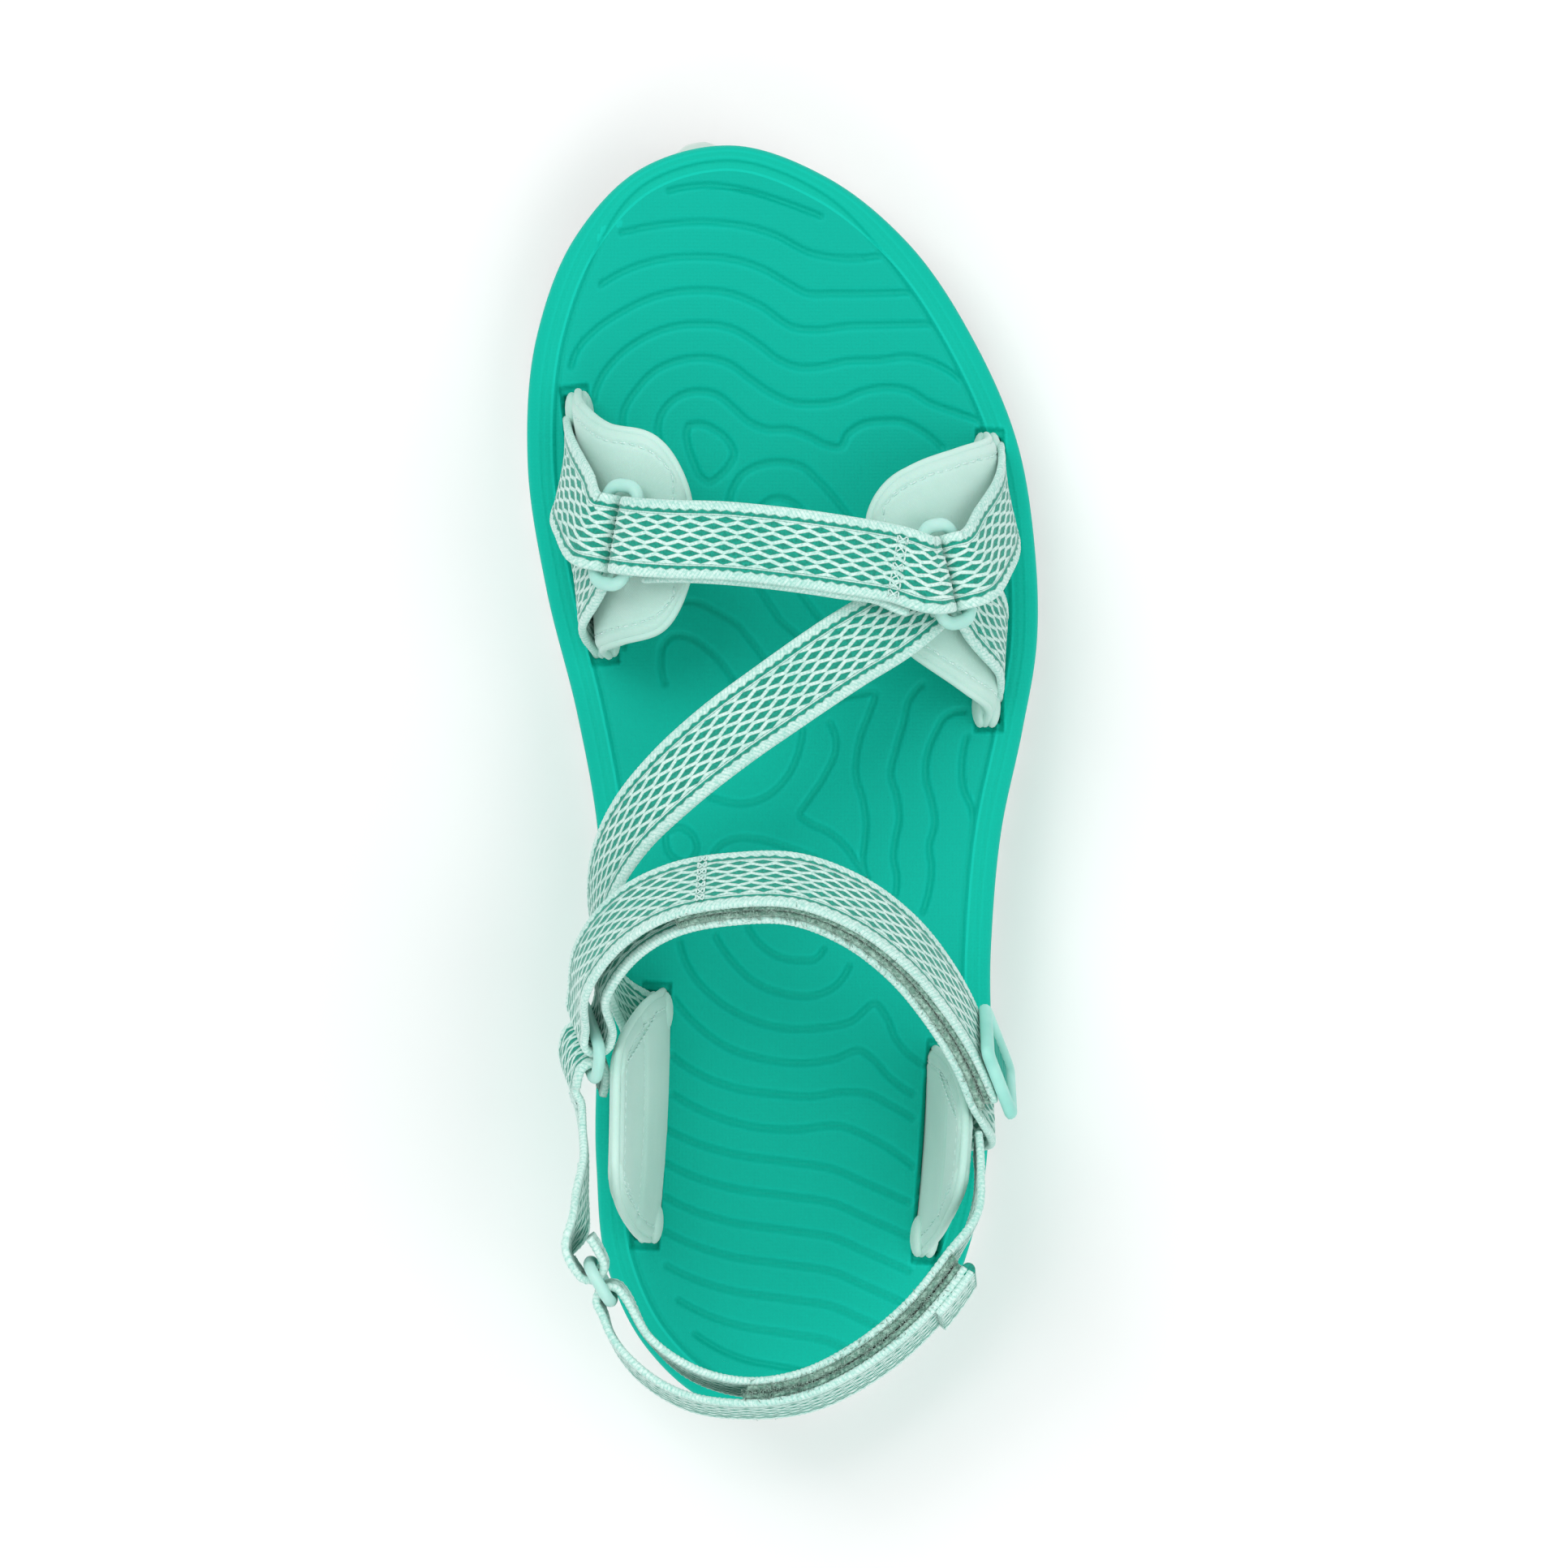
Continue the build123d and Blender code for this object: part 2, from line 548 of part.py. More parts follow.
def build_heel_closure():
    inner, outer, turn = heel_runs()
    points = [(39.6, -74.0, 60.5), (39.8, -82.0, 64.0), (38.2, -90.0, 67.8)]
    faces = [(1, 0, 0), (1, -0.08, 0), (0.93, -0.36, 0)]
    start = run(points, faces, after=inner[0][0])
    build_closure("heel", HEEL_RING, inner, outer, turn, start, (2, 4), (0, 4))


def build_pull_tab(outer):
    """A moulded grip tab outside the ankle flap's end, with a softer inset in its window."""
    end = planes_of(outer)[0]
    base = end.origin + end.y_dir * (WEB_THICK / 2 + TAB_LIFT) + end.z_dir * TAB_PAST_END
    face = Plane(origin=base, x_dir=end.z_dir, z_dir=end.y_dir)
    length, width, thick = TAB_SIZE
    window_length = length - 2 * TAB_BORDER
    window_width = width - 2 * TAB_BORDER
    window_corner = TAB_CORNER_R - 1
    with BuildPart() as tab:
        with BuildSketch(face):
            RectangleRounded(length, width, TAB_CORNER_R)
            RectangleRounded(window_length, window_width, window_corner, mode=Mode.SUBTRACT)
        extrude(amount=thick)
    finish(tab, "ankle_pull_tab")
    with BuildPart() as inset:
        with BuildSketch(face.offset(INSET_DROP)):
            inset_length = window_length - 2 * FIT_GAP
            inset_width = window_width - 2 * FIT_GAP
            RectangleRounded(inset_length, inset_width, window_corner - FIT_GAP)
        extrude(amount=INSET_THICK)
    finish(inset, "ankle_tab_inset")


def main():
    os.makedirs("parts", exist_ok=True)
    build_outsole()
    build_midsole()
    build_footbed()
    build_shank()
    build_ring(TOE_RING_M, "medial_forefoot_ring")
    build_ring(TOE_RING_L, "lateral_forefoot_ring")
    build_ring(ANKLE_RING, "medial_ankle_ring")
    build_ring(HEEL_RING, "medial_heel_ring")
    build_pads()
    build_forefoot_webbing(
        "medial_forefoot_webbing", "medial_forefoot", TOE_RING_M, TOE_FACE_M,
        (68.0, [(-46.6, 63.5, 36.0), (-44.5, 57.5, 46.5)], [(-0.9, 0.1, 0.3), (-0.7, 0.1, 0.7)]),
        (34.5, [(-40.6, 44.5, 45.0), (-43.6, 38.0, 36.0)], [(-0.7, 0.1, 0.7), (-0.95, 0, 0.2)]),
    )
    build_forefoot_webbing(
        "lateral_forefoot_webbing", "lateral_forefoot", TOE_RING_L, TOE_FACE_L,
        (62.0, [(48.6, 57.0, 35.0), (45.0, 50.0, 45.5)], [(0.9, 0.1, 0.3), (0.7, 0.1, 0.7)]),
        (25.0, [(41.0, 35.0, 44.0), (47.0, 28.5, 35.0)], [(0.7, 0.1, 0.7), (0.95, 0, 0.2)]),
    )
    build_toe_strap()
    build_instep_strap()
    build_medial_heel_webbing()
    outer = build_ankle_closure()
    build_heel_closure()
    build_pull_tab(outer)


main()
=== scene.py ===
import bpy
import math
import numpy as np
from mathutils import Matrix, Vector
from mathutils.kdtree import KDTree


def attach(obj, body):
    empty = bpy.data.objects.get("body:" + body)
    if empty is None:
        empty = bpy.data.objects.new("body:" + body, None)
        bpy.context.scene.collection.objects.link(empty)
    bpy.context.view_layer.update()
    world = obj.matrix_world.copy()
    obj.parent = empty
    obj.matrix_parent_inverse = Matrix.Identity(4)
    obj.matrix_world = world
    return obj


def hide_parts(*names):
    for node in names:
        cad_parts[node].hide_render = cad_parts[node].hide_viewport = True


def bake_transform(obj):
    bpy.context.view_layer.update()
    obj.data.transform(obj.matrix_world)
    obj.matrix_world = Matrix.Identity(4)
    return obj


# The looks of a strappy sport sandal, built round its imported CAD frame.
# Shapes are worked out in millimetres in the CAD frame and turned into metres as each mesh is made.

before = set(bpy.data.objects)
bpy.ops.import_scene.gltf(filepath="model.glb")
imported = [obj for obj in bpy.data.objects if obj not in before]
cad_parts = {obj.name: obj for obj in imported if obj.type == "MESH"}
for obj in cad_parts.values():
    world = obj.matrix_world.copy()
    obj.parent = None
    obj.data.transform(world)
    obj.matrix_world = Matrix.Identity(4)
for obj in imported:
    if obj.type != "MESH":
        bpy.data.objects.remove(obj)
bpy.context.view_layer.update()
SOLE = "sole_and_straps"
MM = 0.001
NOISE = np.random.default_rng(11)      # seeded: the fibres come out the same each run

# ---- driving sizes (mm) ----
WEB_WIDTH = 16.0
WEB_THICK = 1.4
PAD_THICK = 3.4
RING_BAR_R = 1.5
RING_LOOK_R = 1.25      # drawn a little thinner, so that it clears the woven relief as it swivels
RING_SPACING = 8.0
RING_LENGTH = 20.4
RING_CORNER = 3.1
LOOP_R = RING_BAR_R + 0.6 + WEB_THICK / 2
LOOP_PATCH = 1.6
HOOK_PATCH = 1.4
PATCH_WIDTH = 15.2
PILE_HEIGHT = 0.3       # relief of a hook-and-loop face
UNDER_SHIFT = -0.9      # the toe strap's lower layer shows along its rear edge
SEAM_LIFT = 0.9         # stitches above a strap's middle
SHARP_ANGLE = 50        # degrees
LAYER_STEP = WEB_THICK + LOOP_PATCH + 0.15 + HOOK_PATCH
OUTSOLE_THICK = 5.0
LUG_DEPTH = 2.6
EDGE_CUT = 1.3          # how deep the tread's grooves cut into its side
FOOTBED_DROP = 0.5
SLOT_DEPTH = 4.0        # beside a pad
SLOT_STEP = 1.5         # the wider recess round it

OUTLINE = [
    (-11.0, 132.5), (9.0, 126.0), (26.0, 112.5), (40.0, 92.0), (49.0, 71.0), (52.6, 50.0),
    (53.0, 28.0), (50.0, 10.5), (45.6, -10.0), (43.3, -35.0), (43.2, -68.0), (40.5, -90.0),
    (34.0, -108.0), (20.0, -123.5), (1.0, -131.5), (-16.0, -128.5), (-28.5, -117.5),
    (-36.5, -101.0), (-38.8, -80.0), (-38.3, -45.0), (-38.7, -10.0), (-43.0, 14.0),
    (-49.5, 40.0), (-53.5, 67.0), (-51.3, 94.0), (-43.5, 113.5), (-30.0, 127.5),
]
TOP_LINE = [(-140, 36), (-100, 34), (-40, 31), (20, 25), (60, 22.5), (100, 24.5), (140, 31)]
SLOTS = {
    "medial_forefoot": ((-43.8, 82.5), (-37.0, 24.5)),
    "lateral_forefoot": ((43.3, 73.5), (43.0, 10.5)),
    "medial_heel": ((-26.2, -42.0), (-28.7, -97.0)),
    "lateral_heel": ((33.0, -54.0), (29.6, -100.0)),
}


# ---- small maths ----
def unit(v):
    v = np.asarray(v, float)
    return v / np.linalg.norm(v, axis=-1, keepdims=True)


def smoothstep(low, high, x):
    t = np.clip((x - low) / (high - low), 0, 1)
    return t * t * (3 - 2 * t)


def spline(points, count, closed=False):
    """A smooth line through the points, sampled evenly by length."""
    p = np.asarray(points, float)
    if closed:
        p = np.vstack([p[-2:], p, p[:3]])
    gaps = np.linalg.norm(np.diff(p, axis=0), axis=1)
    knots = np.concatenate([[0], np.cumsum(gaps)])
    pace = np.diff(p, axis=0) / gaps[:, None]
    slopes = np.empty_like(p)
    before, after = gaps[:-1, None], gaps[1:, None]
    slopes[1:-1] = (after * pace[:-1] + before * pace[1:]) / (before + after)
    slopes[0] = 2 * pace[0] - slopes[1]
    slopes[-1] = 2 * pace[-1] - slopes[-2]
    start, stop = (knots[2], knots[-3]) if closed else (knots[0], knots[-1])
    t = np.linspace(start, stop, 40 * len(p))
    i = np.clip(np.searchsorted(knots, t, side="right") - 1, 0, len(gaps) - 1)
    h = gaps[i][:, None]
    s = (t - knots[i])[:, None] / h
    fine = (2 * s**3 - 3 * s**2 + 1) * p[i] + (s**3 - 2 * s**2 + s) * h * slopes[i]
    fine += (3 * s**2 - 2 * s**3) * p[i + 1] + (s**3 - s**2) * h * slopes[i + 1]
    length = np.concatenate([[0], np.cumsum(np.linalg.norm(np.diff(fine, axis=0), axis=1))])
    stops = np.linspace(0, length[-1], count + 1)[:-1] if closed else np.linspace(0, length[-1], count)
    return np.stack([np.interp(stops, length, fine[:, k]) for k in range(p.shape[1])], axis=1)


def top_height(y):
    """Height of the rim along the sole."""
    line = spline(TOP_LINE, 400)
    return np.interp(y, line[:, 0], line[:, 1])


def ground_height(y):
    """How far the tread rises off the ground at the toe and the heel."""
    toe = np.clip((y - 55.0) / 85.0, 0, 1) ** 2 * 13.5
    heel = np.clip((-112.0 - y) / 28.0, 0, 1) ** 2 * 4.0
    return toe + heel


# ---- mesh making ----
def make_mesh(name, points, faces, material, uv=None, sharp=None):
    """A mesh object from points in mm. uv is one pair per point."""
    mesh = bpy.data.meshes.new(name)
    mesh.from_pydata((np.asarray(points) * MM).tolist(), [], [list(map(int, f)) for f in faces])
    mesh.validate()
    if uv is not None:
        layer = mesh.uv_layers.new(name="length_mm")
        loops = np.zeros(len(mesh.loops), np.int32)
        mesh.loops.foreach_get("vertex_index", loops)
        layer.data.foreach_set("uv", np.asarray(uv, np.float32)[loops].ravel())
    mesh.polygons.foreach_set("use_smooth", [True] * len(mesh.polygons))
    mesh.materials.append(material)
    obj = bpy.data.objects.new(name, mesh)
    bpy.context.scene.collection.objects.link(obj)
    if sharp:
        mesh.set_sharp_from_angle(angle=math.radians(sharp))
    return obj


def place(obj, body, slot, *nodes):
    """Rides the piece on a body, or bakes its transform where it stands when body is a tuple, and hides the
    CAD parts it replaces.
    """
    if isinstance(body, tuple):
        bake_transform(obj)
    else:
        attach(obj, body)
    if nodes:
        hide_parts(*nodes)
    return obj


def shell_faces(rows, cols):
    """Faces of two matching grids, one behind the other, joined round their border."""
    size = rows * cols
    faces = grid_faces(rows, cols).tolist() + grid_faces(rows, cols, start=size, flip=True).tolist()
    border = list(range(cols)) + [r * cols + cols - 1 for r in range(1, rows)]
    border += [(rows - 1) * cols + c for c in range(cols - 2, -1, -1)]
    border += [r * cols for r in range(rows - 2, 0, -1)]
    return faces + [[b, a, a + size, b + size] for a, b in zip(border, border[1:] + border[:1])]


def grid_faces(rows, cols, close_cols=False, start=0, flip=False):
    r = np.arange(rows - 1)[:, None]
    c = np.arange(cols if close_cols else cols - 1)[None, :]
    nxt = (c + 1) % cols
    quads = np.stack([r * cols + c, r * cols + nxt, (r + 1) * cols + nxt, (r + 1) * cols + c], axis=-1)
    quads = quads.reshape(-1, 4) + start
    return quads[:, ::-1] if flip else quads


# ---- stations: the same strap paths as the CAD ----
def square_to(direction, axis):
    return unit(direction - axis * np.sum(direction * axis, axis=-1, keepdims=True))


def ring_frame(centre, along, across):
    along = unit(along)
    across = square_to(np.asarray(across, float), along)
    middle = np.asarray(centre, float)
    return {
        "middle": middle, "along": along, "across": across,
        "anchor": middle - across * RING_SPACING / 2, "strap": middle + across * RING_SPACING / 2,
    }


TOE_RING_M = ring_frame((-34.2, 50.4, 54.0), (0.18, 0.98, 0), (0.803, -0.148, 0.574))
TOE_RING_L = ring_frame((33.5, 42.4, 53.5), (-0.235, 0.972, 0), (-0.796, -0.192, 0.574))
ANKLE_RING = ring_frame((-39.7, -52.4, 64.0), (0.23, -0.53, 0.81), (0.14, 0.845, 0.517))
HEEL_RING = ring_frame((-36.8, -101.0, 74.0), (0, 0, -1), (0.51, -0.86, 0))
TOE_FACE_M = np.cross(TOE_RING_M["across"], TOE_RING_M["along"])
TOE_FACE_L = np.cross(TOE_RING_L["along"], TOE_RING_L["across"])
ANKLE_FACE = np.cross(ANKLE_RING["along"], ANKLE_RING["across"])
HEEL_FACE = np.cross(HEEL_RING["along"], HEEL_RING["across"])


def run(points, faces, before=None, after=None):
    """(centre, across) pairs along a strap, from points and the way its face looks."""
    centres = [np.asarray(p, float) for p in points]
    line = ([before] if before is not None else [centres[0]]) + centres
    line += [after] if after is not None else [centres[-1]]
    pairs = []
    for i, centre in enumerate(centres):
        forward = unit(line[i + 2] - line[i])
        face = square_to(np.asarray(faces[i], float), forward)
        pairs.append((centre, np.cross(face, forward)))
    return pairs


def fold(bar, face, toward, across, start=0, end=180, steps=10):
    """(centre, across) pairs of webbing folded round a bar."""
    pairs = []
    for i in range(steps + 1):
        angle = math.radians(start + (end - start) * i / steps)
        pairs.append((bar + (face * math.cos(angle) + toward * math.sin(angle)) * LOOP_R, across))
    return pairs


def slot_frame(name):
    """A slot's middle, half length, direction to the front and direction to the outside."""
    front, back = (np.array(p, float) for p in SLOTS[name])
    ahead = unit(front - back)
    outward = np.array([ahead[1], -ahead[0]]) * (1 if front[0] > 0 else -1)
    return (front + back) / 2, np.linalg.norm(front - back) / 2, ahead, outward


def slot_point(name, y, outside, z):
    middle, _, ahead, outward = slot_frame(name)
    point = middle + ahead * ((y - middle[1]) / ahead[1]) + outward * outside
    return (point[0], point[1], z)


def faces_of(pairs):
    """Outward face direction at each pair."""
    centres = np.array([p[0] for p in pairs])
    across = np.array([p[1] for p in pairs])
    ahead = np.gradient(centres, axis=0)
    along = square_to(ahead, across)
    return np.cross(along, across)


def moved(pairs, distance):
    face = faces_of(pairs)
    return [(c + f * distance, a) for (c, a), f in zip(pairs, face)]


# ---- materials ----
class Nodes:
    """A small helper for writing a material's node tree as expressions."""

    def __init__(self, name, rough=0.6, sheen=0.0, subsurface=0.0, gloss=0.3):
        self.material = bpy.data.materials.new(name)
        self.material.use_nodes = True
        self.tree = self.material.node_tree
        self.surface = self.tree.nodes["Principled BSDF"]
        self.surface.inputs["Roughness"].default_value = rough
        self.surface.inputs["Sheen Weight"].default_value = sheen
        self.surface.inputs["Subsurface Weight"].default_value = subsurface
        self.surface.inputs["Subsurface Scale"].default_value = 0.002
        self.surface.inputs["Specular IOR Level"].default_value = gloss

    def link(self, value, socket):
        if isinstance(value, bpy.types.NodeSocket):
            self.tree.links.new(value, socket)
        else:
            socket.default_value = value

    def math(self, operation, *values):
        node = self.tree.nodes.new("ShaderNodeMath")
        node.operation = operation
        for socket, value in zip(node.inputs, values):
            self.link(value, socket)
        return node.outputs[0]

    def times(self, first, second):
        return self.math("MULTIPLY", first, second)

    def plus(self, first, second):
        return self.math("ADD", first, second)

    def step(self, value, low, high):
        """0 below low, 1 above high, smooth between."""
        node = self.tree.nodes.new("ShaderNodeMapRange")
        node.interpolation_type = "SMOOTHSTEP"
        self.link(value, node.inputs[0])
        node.inputs[1].default_value = low
        node.inputs[2].default_value = high
        return node.outputs[0]

    def mix(self, factor, first, second):
        node = self.tree.nodes.new("ShaderNodeMix")
        node.data_type = "RGBA"
        self.link(factor, node.inputs[0])
        self.link(first, node.inputs[6])
        self.link(second, node.inputs[7])
        return node.outputs[2]

    def noise(self, scale, detail=3.0, vector=None, stretch=None):
        node = self.tree.nodes.new("ShaderNodeTexNoise")
        node.inputs["Scale"].default_value = scale
        node.inputs["Detail"].default_value = detail
        place = vector or self.tree.nodes.new("ShaderNodeTexCoord").outputs["Object"]
        if stretch:
            mapping = self.tree.nodes.new("ShaderNodeMapping")
            mapping.inputs["Scale"].default_value = stretch
            self.tree.links.new(place, mapping.inputs[0])
            place = mapping.outputs[0]
        self.tree.links.new(place, node.inputs["Vector"])
        return node.outputs["Fac"]

    def object_place(self):
        """Object x, y, z in millimetres."""
        place = self.tree.nodes.new("ShaderNodeTexCoord").outputs["Object"]
        split = self.tree.nodes.new("ShaderNodeSeparateXYZ")
        self.tree.links.new(place, split.inputs[0])
        return [self.times(axis, 1 / MM) for axis in split.outputs]

    def strap_place(self):
        """Millimetres across and along a strap, from its UV map."""
        split = self.tree.nodes.new("ShaderNodeSeparateXYZ")
        self.tree.links.new(self.tree.nodes.new("ShaderNodeUVMap").outputs[0], split.inputs[0])
        return split.outputs[0], split.outputs[1]

    def bump(self, height, distance_mm, strength=1.0):
        node = self.tree.nodes.new("ShaderNodeBump")
        node.inputs["Distance"].default_value = distance_mm * MM
        node.inputs["Strength"].default_value = strength
        self.link(height, node.inputs["Height"])
        self.tree.links.new(node.outputs[0], self.surface.inputs["Normal"])

    def finish(self, colour, rough=None):
        self.link(colour, self.surface.inputs["Base Color"])
        if rough is not None:
            self.link(rough, self.surface.inputs["Roughness"])
        return self.material


def paint(red, green, blue):
    """An sRGB colour (0 to 255) as the linear one that nodes use."""
    def linear(value):
        value /= 255
        return value / 12.92 if value <= 0.04045 else ((value + 0.055) / 1.055) ** 2.4
    return (linear(red), linear(green), linear(blue), 1.0)


TEAL = paint(0, 166, 142)
TEAL_DEEP = paint(0, 132, 112)
THREAD_PALE = paint(220, 244, 237)
FOOTBED_TEAL = paint(0, 194, 172)
RIM_TEAL = paint(0, 198, 174)
PAD_PALE = paint(198, 232, 222)

WEAVE_PITCH = 4.75      # between diamonds along the strap
WEAVE_ROW = 1.4         # between rows of diamonds
EYE_LONG = 2.2          # half length of a teal eye between the pale threads
EYE_WIDE = 0.68         # half width of it
WEAVE_FIELD = 4.9       # half width of the diamond field
ZIGZAG_LOW = 5.25
ZIGZAG_HIGH = 6.1


def weave_height(across, along):
    """Relief of the weave (0 to 1): pale threads stand above the teal ground, the selvedge is ribbed."""
    row = np.round(across / WEAVE_ROW)
    shifted = along + row % 2 * WEAVE_PITCH / 2
    from_eye = np.abs((shifted + WEAVE_PITCH / 2) % WEAVE_PITCH - WEAVE_PITCH / 2)
    eye = from_eye / EYE_LONG + np.abs(across - row * WEAVE_ROW) / EYE_WIDE
    threads = smoothstep(0.5, 1.25, eye)
    ribs = 0.55 + 0.45 * np.sin(2 * np.pi * along / 0.9 + across)
    edge = smoothstep(ZIGZAG_HIGH - 0.3, ZIGZAG_HIGH + 0.2, np.abs(across))
    inside = 1 - smoothstep(WEAVE_FIELD - 0.2, WEAVE_FIELD + 0.4, np.abs(across))
    return threads * inside + ribs * edge


def webbing_material():
    """Pale threads crossing over teal, a teal zig-zag line and a knitted pale selvedge on each side."""
    n = Nodes("woven_webbing", rough=0.72, sheen=0.35)
    across, along = n.strap_place()
    side = n.math("ABSOLUTE", across)
    row = n.math("ROUND", n.math("DIVIDE", side, WEAVE_ROW))
    odd = n.times(n.math("MODULO", row, 2.0), WEAVE_PITCH / 2)
    from_eye = n.math("DIVIDE", n.math("PINGPONG", n.plus(along, odd), WEAVE_PITCH / 2), EYE_LONG)
    from_row = n.math("ABSOLUTE", n.math("SUBTRACT", side, n.times(row, WEAVE_ROW)))
    eye = n.plus(from_eye, n.math("DIVIDE", from_row, EYE_WIDE))
    threads = n.step(eye, 0.86, 1.14)
    field = n.math("SUBTRACT", 1.0, n.step(side, WEAVE_FIELD, WEAVE_FIELD + 0.25))
    zigzag = n.times(n.math("PINGPONG", along, WEAVE_PITCH / 4), 0.35)
    selvedge = n.step(n.plus(side, zigzag), ZIGZAG_HIGH, ZIGZAG_HIGH + 0.35)
    inner_line = n.times(n.step(side, WEAVE_FIELD + 0.05, WEAVE_FIELD + 0.25),
                        n.math("SUBTRACT", 1.0, n.step(side, ZIGZAG_LOW, ZIGZAG_LOW + 0.2)))
    pale = n.math("MAXIMUM", n.times(threads, field), n.math("MAXIMUM", selvedge, inner_line))
    # Two-ply threads: a fine twist along each thread, and knit loops along the selvedge.
    twist = n.math("SINE", n.times(n.plus(along, n.times(across, 0.6)), 14.0))
    knit = n.math("SINE", n.plus(n.times(along, 7.0), n.times(side, 5.0)))
    grain = n.noise(1800.0, 4.0)
    tone = n.noise(60.0, 3.0)
    ground = n.mix(n.step(grain, 0.3, 0.75), TEAL_DEEP, TEAL)
    thread = n.mix(n.step(n.plus(grain, n.times(tone, 0.3)), 0.35, 0.9),
                   paint(158, 216, 203), THREAD_PALE)
    thread = n.mix(n.times(n.step(knit, 0.2, 1.0), n.times(selvedge, 0.35)),
                   thread, paint(120, 196, 182))
    colour = n.mix(pale, ground, thread)
    height = n.plus(n.times(pale, 0.8), n.times(twist, 0.1))
    height = n.plus(height, n.times(grain, 0.35))
    n.bump(height, 0.22, 0.8)
    return n.finish(colour, n.plus(0.62, n.times(grain, 0.25)))


def foam_material(name, base, deep, edge_light):
    """Matt moulded foam: a fine cloth-like grid, tiny pores, slow colour drift and a painted highlight on
    convex edges.
    """
    n = Nodes(name, rough=0.62, gloss=0.12)
    x, y, z = n.object_place()
    rows = n.math("SINE", n.times(n.plus(x, y), 2 * math.pi / 1.5))
    columns = n.math("SINE", n.times(n.math("SUBTRACT", x, y), 2 * math.pi / 1.5))
    grid = n.times(rows, columns)
    pores = n.noise(2600.0, 2.0)
    drift = n.noise(18.0, 2.0)
    shade = n.plus(n.times(drift, 0.6), n.times(pores, 0.4))
    colour = n.mix(n.step(shade, 0.25, 0.75), deep, base)
    colour = n.mix(n.times(n.step(grid, -1.0, -0.1), 0.25), deep, colour)
    geometry = n.tree.nodes.new("ShaderNodeNewGeometry")
    # Painted highlight: convex edges (high pointiness) are mixed towards the lighter edge_light colour, as
    # if the bevels caught the light.
    painted_edge_highlight = n.step(geometry.outputs["Pointiness"], 0.5, 0.56)
    colour = n.mix(n.times(painted_edge_highlight, 0.4), colour, edge_light)
    n.bump(n.plus(n.times(grid, 0.3), pores), 0.09, 0.7)
    return n.finish(colour, n.plus(0.5, n.times(pores, 0.25)))


def rubber_material():
    n = Nodes("outsole_rubber", rough=0.55)
    grain = n.noise(1400.0, 3.0)
    drift = n.noise(30.0, 3.0)
    scuff = n.noise(120.0, 4.0, stretch=(1.0, 0.25, 1.0))
    colour = n.mix(n.step(drift, 0.3, 0.7), paint(204, 218, 212), paint(226, 235, 230))
    colour = n.mix(n.times(n.step(scuff, 0.56, 0.75), 0.3), colour, paint(186, 198, 191))
    n.bump(n.plus(grain, n.times(scuff, 0.4)), 0.08, 0.6)
    return n.finish(colour, n.plus(0.45, n.times(grain, 0.2)))


def pad_material():
    """Smooth pale pad fabric: a fine knit, soft sheen and faint teal shading."""
    n = Nodes("pad_fabric", rough=0.7, sheen=0.5, subsurface=0.08)
    across, along = n.strap_place()
    knit_x = n.math("SINE", n.times(across, 2 * math.pi / 0.55))
    knit_y = n.math("SINE", n.times(along, 2 * math.pi / 0.42))
    knit = n.times(knit_x, knit_y)
    grain = n.noise(1500.0, 3.0)
    drift = n.noise(45.0, 3.0)
    colour = n.mix(n.step(drift, 0.3, 0.72), paint(180, 222, 210), PAD_PALE)
    colour = n.mix(n.times(n.step(grain, 0.5, 0.8), 0.25), colour, paint(214, 240, 234))
    colour = n.mix(n.times(n.step(knit, 0.2, 1.0), 0.12), colour, paint(170, 212, 202))
    n.bump(n.plus(n.times(knit, 0.5), grain), 0.06, 0.6)
    return n.finish(colour, n.plus(0.6, n.times(grain, 0.2)))


def plastic_material(name, base, deep, rough=0.32):
    """Moulded plastic: satin, with faint flow marks and fine scratches."""
    n = Nodes(name, rough=rough, subsurface=0.1)
    flow = n.noise(90.0, 3.0)
    grain = n.noise(3000.0, 2.0)
    scratch = n.noise(900.0, 2.0, stretch=(1.0, 0.1, 1.0))
    colour = n.mix(n.step(flow, 0.3, 0.75), deep, base)
    n.bump(n.plus(n.times(grain, 0.6), n.times(scratch, 0.4)), 0.02, 0.5)
    return n.finish(colour, n.plus(rough - 0.06, n.times(scratch, 0.22)))


def fuzz_material(name, base, deep):
    """Hook-and-loop surface: rough little loops of grey-green nylon."""
    n = Nodes(name, rough=0.85, sheen=0.6)
    loops = n.noise(1500.0, 5.0)
    clumps = n.noise(420.0, 3.0)
    colour = n.mix(n.step(n.plus(n.times(loops, 0.7), n.times(clumps, 0.3)),
                          0.38, 0.66), deep, base)
    n.bump(n.plus(loops, clumps), 0.5, 0.9)
    return n.finish(colour)


def thread_material(name, base, deep):
    n = Nodes(name, rough=0.6, sheen=0.4)
    twist = n.noise(2400.0, 2.0)
    n.bump(twist, 0.05, 0.8)
    return n.finish(n.mix(n.step(twist, 0.3, 0.7), deep, base))


WEBBING = webbing_material()
FOOTBED = foam_material("footbed_foam", FOOTBED_TEAL, paint(0, 176, 155), paint(10, 206, 188))
MIDSOLE = foam_material("midsole_foam", RIM_TEAL, paint(0, 182, 159), paint(16, 212, 192))
RUBBER = rubber_material()
PAD = pad_material()
RING = plastic_material("ring_plastic", paint(194, 236, 227), paint(168, 222, 211))
TAB = plastic_material("tab_plastic", paint(168, 232, 220), paint(146, 216, 203), 0.38)
INSET = plastic_material("tab_inset_plastic", paint(10, 172, 152), paint(0, 148, 130), 0.5)
SHANK = plastic_material("shank_nylon", paint(60, 66, 66), paint(40, 44, 45), 0.5)
LOOP_PILE = fuzz_material("loop_pile", paint(178, 216, 200), paint(104, 152, 134))
HOOK_TAPE = fuzz_material("hook_tape", paint(158, 202, 184), paint(78, 126, 110))
THREAD = thread_material("thread", paint(222, 243, 238), paint(176, 222, 212))


